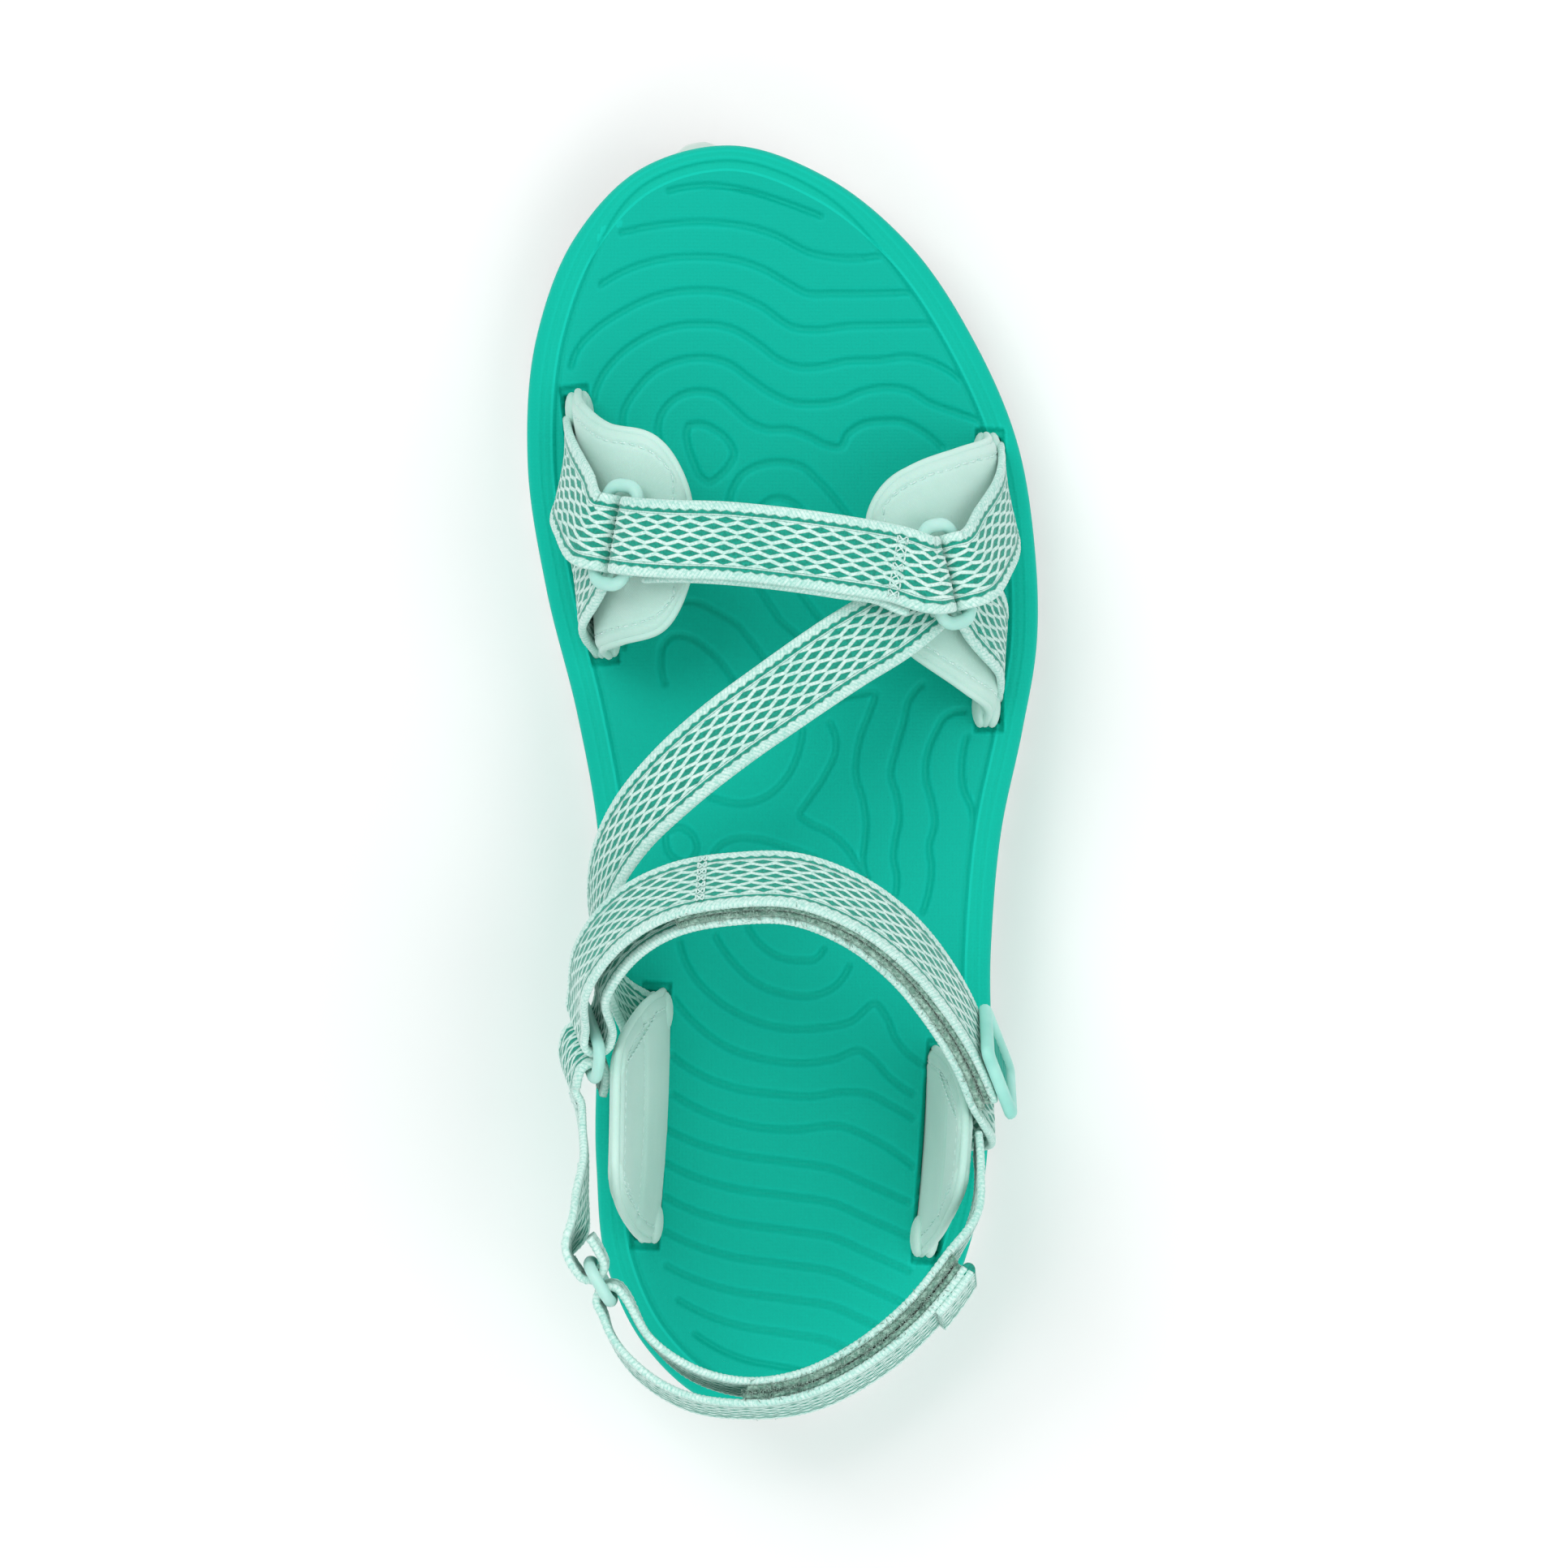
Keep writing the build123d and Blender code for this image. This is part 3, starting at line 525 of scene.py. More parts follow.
# ---- sole ----
LOOP_COUNT = 1100
OUTER_LOOP = spline(OUTLINE, LOOP_COUNT, closed=True)
RUN = unit(np.roll(OUTER_LOOP, -1, axis=0) - np.roll(OUTER_LOOP, 1, axis=0))
INWARD = np.stack([RUN[:, 1], -RUN[:, 0]], axis=1)
BAND_WIDTH = 9.0
LINE_SIDE = 6.2         # the footbed's edge lies this far inside the outline
LINE_TOE = 3.6
BEVEL_SHARE = 0.5       # of that distance
BEVEL_DROP = 1.5
EDGE_DROP = 2.2         # where the side wall starts, below the rim
EDGE_ROUND = 0.7        # the rounding from the bevel into the side wall
MIDSOLE_INSET = 5.4     # the rim piece reaches this far in, and the footbed starts there

# Contour grooves of the footbed, from the toe to the heel (mm).
CONTOURS = [
    [(-23.7, 123.1), (-15.1, 124.2), (-8, 123.2), (-0.9, 121.1), (7.7, 117.9)],
    [(-33.6, 114.5), (-27.9, 115.7), (-15.1, 116.6), (-8, 115.8), (-2.3, 114.2), (6.3, 110.1),
     (9.1, 109.5), (19.8, 109.7)],
    [(-37.9, 103.8), (-33.6, 106.3), (-26.5, 108.7), (-16.5, 109.5), (-9.4, 108.7), (-3.7, 106.7),
     (1.3, 103.8), (4.8, 102), (10.5, 101.8), (26.2, 102.2)],
    [(-44.3, 86.7), (-42.9, 90.3), (-39.4, 94.2), (-33.6, 98.1), (-26.5, 101.3), (-18, 102.5),
     (-10.8, 101.8), (-5.1, 99.5), (2.7, 94.7), (6.3, 94.3), (13.4, 95.1), (20.5, 95.3), (30.5, 95.6)],
    [(-39.7, 79.6), (-37.9, 84.6), (-34.4, 88.9), (-30.1, 92.1), (-24.4, 94.6), (-17.3, 95.5),
     (-10.8, 94.6), (-5.1, 91.3), (-0.9, 88.1), (2.7, 86.7), (7, 86.6), (13.4, 87.8), (20.5, 88.1),
     (26.2, 88.7), (30.5, 87.8), (36.9, 84.2)],
    [(-33.6, 73.2), (-33.3, 77.4), (-30.8, 81.7), (-26.5, 86), (-21.5, 88), (-16.5, 88.5), (-11.6, 87.4),
     (-6.6, 83.9), (-2.3, 81), (2, 79.2), (7, 78.9), (12, 79.6), (16.2, 81.4), (21.2, 82.3),
     (26.2, 81.7), (30.5, 79.2), (36.2, 77.1), (40.5, 75.7)],
    [(-25.5, 70.3), (-26.2, 73.9), (-25.1, 77.4), (-22.2, 80.3), (-18, 81.5), (-13.7, 80.7),
     (-10.1, 77.8), (-7.3, 75.3), (-3.7, 73.7), (1.3, 73.5), (5.5, 72.1), (9.1, 70.3), (12, 70),
     (13.4, 72.5), (16.2, 74.5), (20.5, 75.3), (24.8, 75.2), (29.1, 73.2), (33.3, 69.6)],
    [(-19.7, 74.4), (-16.9, 74.6), (-14.2, 73.5), (-11.5, 71.2), (-10.3, 68.5), (-11.5, 65.8),
     (-13.8, 63.5), (-15.3, 62.6), (-17.2, 63.7), (-18.7, 66.7), (-19.9, 70.3), (-20.2, 72.8),
     (-19.7, 74.4)],
    [(-3.8, 41.5), (-8.5, 48), (-11.5, 57.6), (-8.3, 64.4), (-4.7, 66.2), (-0.6, 66.7), (3.9, 65.8),
     (7.6, 62.6), (12.6, 56.9), (16, 52), (18, 47)],
    [(3.5, 39.5), (-2, 46), (-4.5, 57.6), (-1.5, 59.2), (1.7, 58.5), (4.6, 55.9), (9.5, 50), (13, 43)],
    [(-5.1, 40.4), (-2.4, 36.3), (-0.6, 33.6), (3.5, 30), (6, 26.5)],
    [(3.5, 39.5), (5.9, 36.3), (9.5, 31.5)],
    [(-24.6, 20.4), (-25.5, 25), (-25.1, 28.1), (-22.8, 30.4), (-19.7, 30), (-16, 27.7), (-12.8, 24.5),
     (-10.6, 21.3)],
    [(-33.3, 28.1), (-32.3, 30.9), (-29.6, 32.9), (-24, 36.8), (-17.8, 37.2), (-14.2, 35.4),
     (-9.7, 32.7), (-6.9, 29.5), (-3.8, 25.4)],
    [(11.6, 17.1), (15.5, 18.1), (19, 18.4), (18, 14.1), (16.6, 10.6), (15.5, 6.3), (15.2, 1.3),
     (16.6, -3.7), (17.3, -8.7), (17, -12.9), (16.6, -16.5), (17.5, -20.1)],
    [(29, 20.1), (26.5, 17.1), (25.2, 12.2), (23.7, 7), (22.5, 1.3), (23.7, -3), (24.2, -8),
     (23.4, -12.2), (23, -15.8), (23.7, -20.1), (23.4, -23.6)],
    [(37.9, 14.6), (33.9, 13.4), (31.9, 10.2), (30.1, 5.6), (29.8, 0.6), (30.9, -3.7), (31.6, -8.7),
     (30.5, -13.7), (30.9, -17.9), (30.5, -22.2), (29.1, -27.2)],
    [(4.1, 10.6), (3.1, 5.6), (0.6, 0.6), (-3.7, -3.3), (-8.7, -4.7), (-13, -4), (-15.1, -3.3)],
    [(9.8, 12.2), (11.1, 8.2), (8.4, 0.6), (5.5, -3.7), (3.6, -7.2), (5.5, -8.7), (9.1, -10.4),
     (12.7, -13.3), (15.5, -17.2), (17.3, -19.7)],
    [(38.3, 9.2), (37.3, 3.5), (37.6, -1.5), (39.4, -5.8), (40.1, -10.1)],
    [(-24.4, -10.8), (-21.5, -9.7), (-18.7, -11.5), (-18, -14.4), (-20.1, -16.9), (-23, -15.8),
     (-24.4, -10.8)],
    [(-15.1, -16.5), (-13, -13.3), (-9.4, -11.9), (-5.1, -12.1), (0.6, -13.7), (6.3, -15.8)],
    [(8.4, -35), (7, -36.8), (3.4, -37.3), (-0.9, -36.5), (-5.1, -33.6), (-7.3, -30.4)],
    [(13.7, -38.6), (10.5, -42.9), (5.5, -44.7), (0.6, -44.3), (-5.9, -41.8), (-10.8, -37.2),
     (-14.1, -32.2)],
    [(-21.5, -33.6), (-19.4, -39.3), (-14.4, -45), (-7.3, -49.3), (0.6, -51.4), (7.7, -51.3),
     (14.1, -50), (19.4, -46.4), (21.6, -49.3), (23.4, -53.6), (29.8, -59.3)],
    [(-22.6, -45.4), (-18, -50.7), (-10.8, -55.7), (-3.7, -57.8), (4.1, -58.6), (10.5, -57.8),
     (16.2, -56.1), (19.1, -58.2), (21.9, -61.4), (26.9, -65)],
    [(-23, -57.1), (-16.5, -61.4), (-9.4, -63.9), (-1.6, -65), (5.5, -65.5), (12.7, -64.6), (17.7, -65),
     (21.9, -67.1), (26.9, -70)],
    [(-23, -65), (-15.1, -69.2), (-6.6, -71.7), (2, -72.4), (12, -71.7), (19.8, -75), (27, -80)],
]
HEEL_CONTOUR = [
    (-24.5, -72.2), (-18, -75.2), (-11.4, -77.2), (1.9, -79.2), (10.5, -80.6), (17, -83.4), (26, -87.4),
]
HEEL_CONTOURS = 7       # the arc above and those behind it
HEEL_CONTOUR_STEP = 7.1
GROOVE_DEPTH = 0.95
GROOVE_HALF = 0.62


def contour_tree():
    lines = [list(line) for line in CONTOURS]
    for i in range(HEEL_CONTOURS):
        narrow = 1 - 0.45 * smoothstep(3.5, 8.0, i)
        lines.append([(x * narrow, y - HEEL_CONTOUR_STEP * i) for x, y in HEEL_CONTOUR])
    samples = []
    for line in lines:
        length = sum(math.dist(a, b) for a, b in zip(line, line[1:]))
        samples.extend(spline(line, int(length / 0.3) + 2).tolist())
    tree = KDTree(len(samples))
    for i, (x, y) in enumerate(samples):
        tree.insert((x, y, 0), i)
    tree.balance()
    return tree


CONTOUR_TREE = contour_tree()


def groove(points):
    """How deep the contour grooves cut at each (x, y)."""
    far = np.array([CONTOUR_TREE.find((x, y, 0))[2] for x, y in points])
    return GROOVE_DEPTH * np.exp(-((far / GROOVE_HALF) ** 2))


def slot_depth(points):
    depth = np.zeros(len(points))
    for name in SLOTS:
        middle, half, ahead, outward = slot_frame(name)
        along = np.abs((points - middle) @ ahead)
        out = np.abs((points - middle) @ outward)
        wide = (1 - smoothstep(half - 0.3, half + 0.5, along)) * (1 - smoothstep(2.7, 3.2, out))
        deep = (1 - smoothstep(half - 2.2, half - 1.2, along)) * (1 - smoothstep(2.1, 2.6, out))
        depth = np.maximum(depth, np.maximum(SLOT_STEP * wide, SLOT_DEPTH * deep))
    return depth


def line_inset(points):
    """The insert line's distance from the outline: narrow round the toe."""
    return LINE_SIDE + (LINE_TOE - LINE_SIDE) * smoothstep(104, 126, points[:, 1])


def top_surface(points, inset):
    """Height of the rim and the footbed at (x, y), inset being the distance from the outline."""
    line = line_inset(points)
    bevel = line * BEVEL_SHARE
    t = np.clip(1 - inset / bevel, 0, 1)
    z = top_height(points[:, 1]) - BEVEL_DROP * t**1.5
    z = z - (EDGE_DROP - BEVEL_DROP) * np.clip(1 - inset / EDGE_ROUND, 0, 1) ** 2
    z -= 0.28 * np.exp(-(((inset - bevel) / 0.35) ** 2))
    z -= 0.75 * np.exp(-(((inset - line) / 0.4) ** 2))
    bed = smoothstep(line - 0.1, line + 0.7, inset)
    z -= bed * (FOOTBED_DROP + groove(points))
    z -= slot_depth(points)
    return z


def plan_fill(loop, step, columns):
    """Rows of points across a closed plan loop, close together at its two ends, with their faces."""
    top, low = np.argmax(loop[:, 1]), np.argmin(loop[:, 1])
    size = len(loop)
    right = loop[[(top + i) % size for i in range((low - top) % size + 1)]]
    left = loop[[(low + i) % size for i in range((top - low) % size + 1)]]
    ymax, ymin = loop[top, 1], loop[low, 1]
    reach = 7.0
    ends = reach * (np.arange(1, 26) / 25) ** 2
    inner = np.arange(ymin + reach + step, ymax - reach, step)
    ys = np.concatenate([ymin + ends, inner, (ymax - ends)[::-1]])
    left_x = np.interp(ys, left[:, 1], left[:, 0])
    right_x = np.interp(ys, right[::-1, 1], right[::-1, 0])
    t = np.linspace(0, 1, columns)
    x = left_x[:, None] + (right_x - left_x)[:, None] * t[None, :]
    points = np.stack([x, np.repeat(ys[:, None], columns, axis=1)], axis=-1).reshape(-1, 2)
    tips = np.array([loop[low], loop[top]])
    count = len(points)
    faces = grid_faces(len(ys), columns).tolist()
    faces += [[count, i + 1, i] for i in range(columns - 1)]
    last = count - columns
    faces += [[count + 1, last + i, last + i + 1] for i in range(columns - 1)]
    return np.vstack([points, tips]), faces


def band_of_loops(insets, outward=None):
    """Loops of plan points at each inset from the outline."""
    base = OUTER_LOOP if outward is None else OUTER_LOOP - INWARD * outward[:, None]
    return [base + INWARD * inset for inset in insets]


def join(parts):
    """Puts several (points, faces) together as one."""
    points, faces, start = [], [], 0
    for more_points, more_faces in parts:
        points.append(more_points)
        faces.extend([[i + start for i in face] for face in more_faces])
        start += len(more_points)
    return np.vstack(points), faces


def with_height(points, z):
    return np.column_stack([points, z])


def build_footbed():
    """The footbed insert: contour grooves and a fine grid, inside the rim's insert line."""
    insets = np.arange(MIDSOLE_INSET, BAND_WIDTH + 0.01, 0.3)
    loops = band_of_loops(insets)
    rows = [with_height(p, top_surface(p, np.full(LOOP_COUNT, d))) for p, d in zip(loops, insets)]
    band = (np.vstack(rows), grid_faces(len(rows), LOOP_COUNT, close_cols=True, flip=True).tolist())
    fill_points, fill_faces = plan_fill(loops[-1], 0.5, 190)
    z = top_surface(fill_points, np.full(len(fill_points), BAND_WIDTH))
    points, faces = join([band, (with_height(fill_points, z), fill_faces)])
    return place(make_mesh("footbed_top", points, faces, FOOTBED), SOLE, "footbed_foam", "footbed")


def side_wall(top_z, low_z, count, depth):
    """Rows of a side wall with a shallow waist and a moulded line round it."""
    rows = []
    for v in np.linspace(0, 1, count):
        inset = depth * math.sin(math.pi * v) ** 0.8 + 0.55 * math.exp(-(((v - 0.62) / 0.035) ** 2))
        rows.append(with_height(OUTER_LOOP + INWARD * inset, top_z + (low_z - top_z) * v))
    return rows


def build_midsole():
    """The midsole: bevelled rim, sculpted side wall and a closed underside."""
    insets = np.concatenate([np.arange(0, MIDSOLE_INSET + 0.01, 0.3), [MIDSOLE_INSET]])
    loops = band_of_loops(insets)
    rim = [with_height(p, top_surface(p, np.full(LOOP_COUNT, d))) for p, d in zip(loops, insets)][::-1]
    y = OUTER_LOOP[:, 1]
    low = ground_height(y) + OUTSOLE_THICK
    wall = side_wall(top_height(y) - EDGE_DROP, low, 34, 1.1)[1:]
    under = with_height(OUTER_LOOP + INWARD * 4, low)
    rows = rim + wall + [under]
    band = (np.vstack(rows), grid_faces(len(rows), LOOP_COUNT, close_cols=True).tolist())
    fill, fill_faces = plan_fill(under[:, :2], 4.0, 24)
    cap = (with_height(fill, ground_height(fill[:, 1]) + OUTSOLE_THICK), [face[::-1] for face in fill_faces])
    points, faces = join([band, cap])
    return place(make_mesh("midsole_body", points, faces, MIDSOLE), SOLE, "midsole_foam", "midsole")


def tread_grooves(points):
    """The grooves across the tread at (x, y): 1 inside one, 0 on a lug."""
    fold_x = np.abs((points[:, 0] + 18) % 36 - 18) / 18
    wave = (points[:, 1] + 6.0 * fold_x) % 13.0
    return smoothstep(0.0, 0.7, wave) * (1 - smoothstep(2.6, 3.3, wave))


def tread_depth(points):
    """How far the tread's grooves go up from the ground at (x, y)."""
    x, y = points[:, 0], points[:, 1]
    fold_x = np.abs((x + 18) % 36 - 18) / 18
    across = tread_grooves(points)
    lengthwise = np.abs(np.abs(x) - 18)
    along = 1 - smoothstep(1.0, 1.7, lengthwise)
    sipes = np.abs((y + 6.0 * fold_x + 5.2) % 13.0 - 6.5)
    fine = 0.3 * (1 - smoothstep(0.25, 0.7, sipes))
    return LUG_DEPTH * np.maximum(np.maximum(across, along), fine)


# The outsole's side from its top to the ground: inset, height above the ground, share of the tread's cut.
OUTSOLE_EDGE = (
    (4.0, 5.0, 0), (0.3, 5.0, 0), (0.0, 4.7, 0), (0.12, 4.4, 0), (0.0, 4.1, 0.1),
    (0.05, 3.7, 1), (0.1, 2.4, 1), (0.15, 0.9, 1), (0.45, 0.25, 1), (0.9, 0.0, 1),
)


def build_outsole():
    """The outsole: a pale lugged tread that shows a little in front of the toe."""
    x, y = OUTER_LOOP[:, 0], OUTER_LOOP[:, 1]
    toe = smoothstep(118, 128, y) * (1 - smoothstep(8, 14, x)) * smoothstep(-30, -22, x)
    lug = np.exp(-(((x + 18) / 3.4) ** 4)) * smoothstep(118, 128, y)
    outward = 0.9 * toe + 1.3 * lug
    low = ground_height(y)
    cut = EDGE_CUT * tread_grooves(OUTER_LOOP - 6 * np.sign(x)[:, None] * [1, 0])
    rows = []
    for inset, up, share in OUTSOLE_EDGE:
        rows.append(with_height(band_of_loops([inset], outward - cut * share)[0], low + up))
    for inset in np.arange(1.6, 6.01, 0.55):
        plan = band_of_loops([inset], outward)[0]
        depth = tread_depth(plan) * smoothstep(1.2, 2.4, inset)
        rows.append(with_height(plan, ground_height(plan[:, 1]) + depth))
    band = (np.vstack(rows), grid_faces(len(rows), LOOP_COUNT, close_cols=True).tolist())
    fill, fill_faces = plan_fill(rows[-1][:, :2], 0.75, 130)
    tread = (with_height(fill, ground_height(fill[:, 1]) + tread_depth(fill)), [f[::-1] for f in fill_faces])
    lid, lid_faces = plan_fill(rows[0][:, :2], 4.0, 24)
    top = (with_height(lid, ground_height(lid[:, 1]) + OUTSOLE_THICK), lid_faces)
    points, faces = join([band, tread, top])
    return place(make_mesh("outsole_tread", points, faces, RUBBER), SOLE, "outsole_rubber", "outsole")


def dress_shank():
    """The shank plate is hidden inside the sole; its CAD shape stays and gets its nylon."""
    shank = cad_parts["shank_plate"]
    for i in range(len(shank.material_slots)):
        shank.material_slots[i].material = SHANK
    if not shank.material_slots:
        shank.data.materials.append(SHANK)


build_footbed()
build_midsole()
build_outsole()
dress_shank()


# ---- webbing straps ----
ROW_STEP = 0.5
TOP_COLUMNS = 43
UNDER_COLUMNS = 23
WEAVE_RELIEF = 0.16
CROWN = 0.12


class Path:
    """A dense strap line: centres, across, face directions and length along."""

    def __init__(self, pairs, step=ROW_STEP):
        tiny = 1e-3
        data = np.array([np.concatenate([c, np.asarray(a) * tiny]) for c, a in pairs])
        chord = np.linalg.norm(np.diff(data[:, :3], axis=0), axis=1).sum()
        dense = spline(data, int(chord / step) + 2)
        self.centre = dense[:, :3]
        ahead = unit(np.gradient(self.centre, axis=0))
        self.across = square_to(dense[:, 3:] / tiny, ahead)
        self.face = np.cross(ahead, self.across)
        gaps = np.linalg.norm(np.diff(self.centre, axis=0), axis=1)
        self.along = np.concatenate([[0], np.cumsum(gaps)])

    def row_near(self, point, low=0, high=None):
        high = len(self.centre) if high is None else high
        return low + int(np.argmin(np.linalg.norm(self.centre[low:high] - np.asarray(point), axis=1)))

    def row_at(self, length):
        return int(np.clip(np.searchsorted(self.along, length), 0, len(self.along) - 1))


def section(width, thick, top_columns=TOP_COLUMNS, under_columns=UNDER_COLUMNS):
    """A strap's closed section as (across, up) with rounded selvedges; also which points are on a face."""
    half = width / 2
    radius = thick / 2
    flat = half - radius
    edge = np.radians(np.array([60, 30, 0, -30, -60]))
    top = np.column_stack([np.linspace(-flat, flat, top_columns), np.full(top_columns, radius)])
    right = np.column_stack([flat + radius * np.cos(edge), radius * np.sin(edge)])
    under = np.column_stack([np.linspace(flat, -flat, under_columns), np.full(under_columns, -radius)])
    left = np.column_stack([-flat - radius * np.cos(edge), -radius * np.sin(edge)])
    return np.vstack([top, right, under, left])


def sweep(path, first, last, width, thick, relief, lift=0.0, shift=0.0, capped=(True, True)):
    """The section carried along part of a path; relief(across, along, up) lifts its two faces."""
    shape = section(width, thick)
    rows = slice(first, last + 1)
    centre, across, face = path.centre[rows], path.across[rows], path.face[rows]
    along = path.along[rows]
    c, up = shape[:, 0][None, :], shape[:, 1][None, :]
    side = np.sign(up)
    body = CROWN * (1 - (2 * c / width) ** 2)
    a = np.repeat(along[:, None], len(shape), axis=1)
    lifted = up + body + lift + side * relief(np.repeat(c, len(along), axis=0), a)
    out = across[:, None, :] * (c + shift)[..., None] + face[:, None, :] * lifted[..., None]
    points = (centre[:, None, :] + out).reshape(-1, 3)
    uv = np.stack([np.repeat(c, len(along), axis=0), a], axis=-1).reshape(-1, 2)
    count = len(shape)
    faces = grid_faces(len(along), count, close_cols=True, flip=True).tolist()
    if capped[0]:
        faces.append(list(range(count)))
    if capped[1]:
        faces.append(list(range(len(points) - 1, len(points) - count - 1, -1)))
    return points, faces, uv


def woven(across, along):
    return WEAVE_RELIEF * weave_height(across, along)


def webbing(name, path, *nodes, first=0, last=None, body=SOLE, **extra):
    """A length of webbing; body is what it rides on, or a tuple, which leaves it unparented."""
    last = len(path.centre) - 1 if last is None else last
    points, faces, uv = sweep(path, first, last, WEB_WIDTH, WEB_THICK, relief=woven, **extra)
    return place(make_mesh(name, points, faces, WEBBING, uv), body, "webbing", *nodes)


def pile(across, along):
    """Uneven relief of a hook-and-loop face."""
    return 0.3 * np.abs(np.sin(across * 4.1 + np.sin(along * 2.3)) * np.sin(along * 3.7 + across)) - 0.1


def patch(name, path, first, last, thick, material, slot_name, node, body):
    """A hook-and-loop patch sewn to the strap's face."""
    lift = (WEB_THICK + thick) / 2
    points, faces, uv = sweep(path, first, last, PATCH_WIDTH, thick - PILE_HEIGHT, lift=lift, relief=pile)
    return place(make_mesh(name, points, faces, material, uv), body, slot_name, node)


def strands(starts, directions, lengths, radius=0.07, curl=0.8, steps=5):
    """Thin curled fibres as three-sided tubes."""
    points, faces = [], []
    for start, direction, length in zip(starts, directions, lengths):
        side = unit(np.cross(direction, unit(NOISE.normal(size=3))))
        other = np.cross(direction, side)
        bend = curl * length * NOISE.uniform(0.4, 1.0)
        base = len(points)
        for i in range(steps + 1):
            t = i / steps
            middle = start + direction * length * math.sin(t * 1.9) * 0.75 + side * bend * t * t
            for k in range(3):
                angle = 2 * math.pi * k / 3
                points.append(middle + (side * math.cos(angle) + other * math.sin(angle)) * radius)
        for i in range(steps):
            for k in range(3):
                a, b = base + 3 * i + k, base + 3 * i + (k + 1) % 3
                faces.append([a, b, b + 3, a + 3])
    return points, faces


def fringe(name, path, first, last, thick, material, body, count):
    """Fibres standing out from the edges of a hook-and-loop patch."""
    lift = (WEB_THICK + thick) / 2
    starts, directions, lengths = [], [], []
    for _ in range(count):
        row = int(NOISE.integers(first, last))
        edge = (-1, 1)[int(NOISE.integers(0, 2))]
        reach = PATCH_WIDTH / 2 - abs(NOISE.normal(0, 0.5))
        up = lift + NOISE.uniform(-1.2, 1.2)
        starts.append(path.centre[row] + path.across[row] * edge * reach + path.face[row] * up)
        directions.append(unit(path.across[row] * edge + NOISE.normal(0, 0.45, 3)))
        lengths.append(NOISE.uniform(0.5, 1.7))
    points, faces = strands(starts, directions, lengths)
    place(make_mesh(name, points, faces, material), body, "loop_pile")


def thread_tube(line, radius=0.2, sides=6):
    """A closed round thread along a short line of points."""
    line = np.asarray(line, float)
    ahead = unit(np.gradient(line, axis=0))
    side = unit(np.cross(ahead, unit(ahead[::-1] + np.array([0.31, 0.17, 0.93]))))
    other = np.cross(ahead, side)
    angles = 2 * np.pi * np.arange(sides) / sides
    ring = side[:, None, :] * np.cos(angles)[None, :, None]
    ring = ring + other[:, None, :] * np.sin(angles)[None, :, None]
    points = (line[:, None, :] + ring * radius).reshape(-1, 3)
    faces = grid_faces(len(line), sides, close_cols=True).tolist()
    faces += [list(range(sides))[::-1], list(range(len(points) - sides, len(points)))]
    return points, faces


def stitch_line(points, normals, pitch=2.6, share=0.72, sink=0.28, radius=0.2):
    """A row of short thread stitches lying on a surface line."""
    points = np.asarray(points, float)
    gaps = np.concatenate([[0], np.cumsum(np.linalg.norm(np.diff(points, axis=0), axis=1))])
    parts = []
    for k in range(int(gaps[-1] / pitch)):
        stops = np.linspace(k * pitch, k * pitch + pitch * share, 7)
        line = np.stack([np.interp(stops, gaps, points[:, i]) for i in range(3)], axis=1)
        normal = np.stack([np.interp(stops, gaps, normals[:, i]) for i in range(3)], axis=1)
        arch = np.sin(np.linspace(0, math.pi, 7)) ** 0.5
        parts.append(thread_tube(line + normal * (arch * sink - sink * 0.4)[:, None], radius))
    return parts


def threads(name, parts, *nodes, body=SOLE):
    """All the stitches of a seam as one piece."""
    place(make_mesh(name, *join(parts), THREAD), body, "thread", *nodes)


def seam_on(path, row, offset, lift):
    """Two rows of stitches with crosses between them, straight across a strap."""
    parts = []
    half = WEB_WIDTH / 2 - 0.9
    columns = np.linspace(-half, half, 60)
    ahead = unit(np.cross(path.across[row], path.face[row]))
    normals = np.repeat(path.face[row][None, :], 60, axis=0)
    for shift in (-offset, offset):
        line = path.centre[row] + path.across[row] * columns[:, None] + ahead * shift + normals * lift
        parts += stitch_line(line, normals, 1.9, 0.7)
    for left in np.arange(-half, half - 1.0, 1.9):
        for a, b in ((-1, 1), (1, -1)):
            ends = [(left, a * offset * 0.8), (left + 1.5, b * offset * 0.8)]
            line = [
                path.centre[row] + path.across[row] * (ends[0][0] + (ends[1][0] - ends[0][0]) * t)
                + ahead * (ends[0][1] + (ends[1][1] - ends[0][1]) * t)
                + path.face[row] * (lift + 0.15 * math.sin(math.pi * t)) for t in np.linspace(0, 1, 5)
            ]
            parts.append(thread_tube(line, 0.17))
    return parts


def forefoot_path(slot_name, ring, face, front, rear):
    front_y, front_points, front_faces = front
    rear_y, rear_points, rear_faces = rear
    outward = slot_frame(slot_name)[3]
    outward = (outward[0], outward[1], 0)
    turn = fold(ring["anchor"], face, ring["across"], np.cross(face, ring["across"]))
    up_points = [slot_point(slot_name, front_y, 2.0, z) for z in (9, 26)] + front_points
    down_points = rear_points + [slot_point(slot_name, rear_y, 2.0, z) for z in (26, 9)]
    down_faces = [[-v for v in f] for f in rear_faces] + [[-v for v in outward]] * 2
    up = run(up_points, [outward, outward] + front_faces, after=turn[0][0])
    down = run(down_points, down_faces, before=turn[-1][0])
    return Path(up + turn + down)


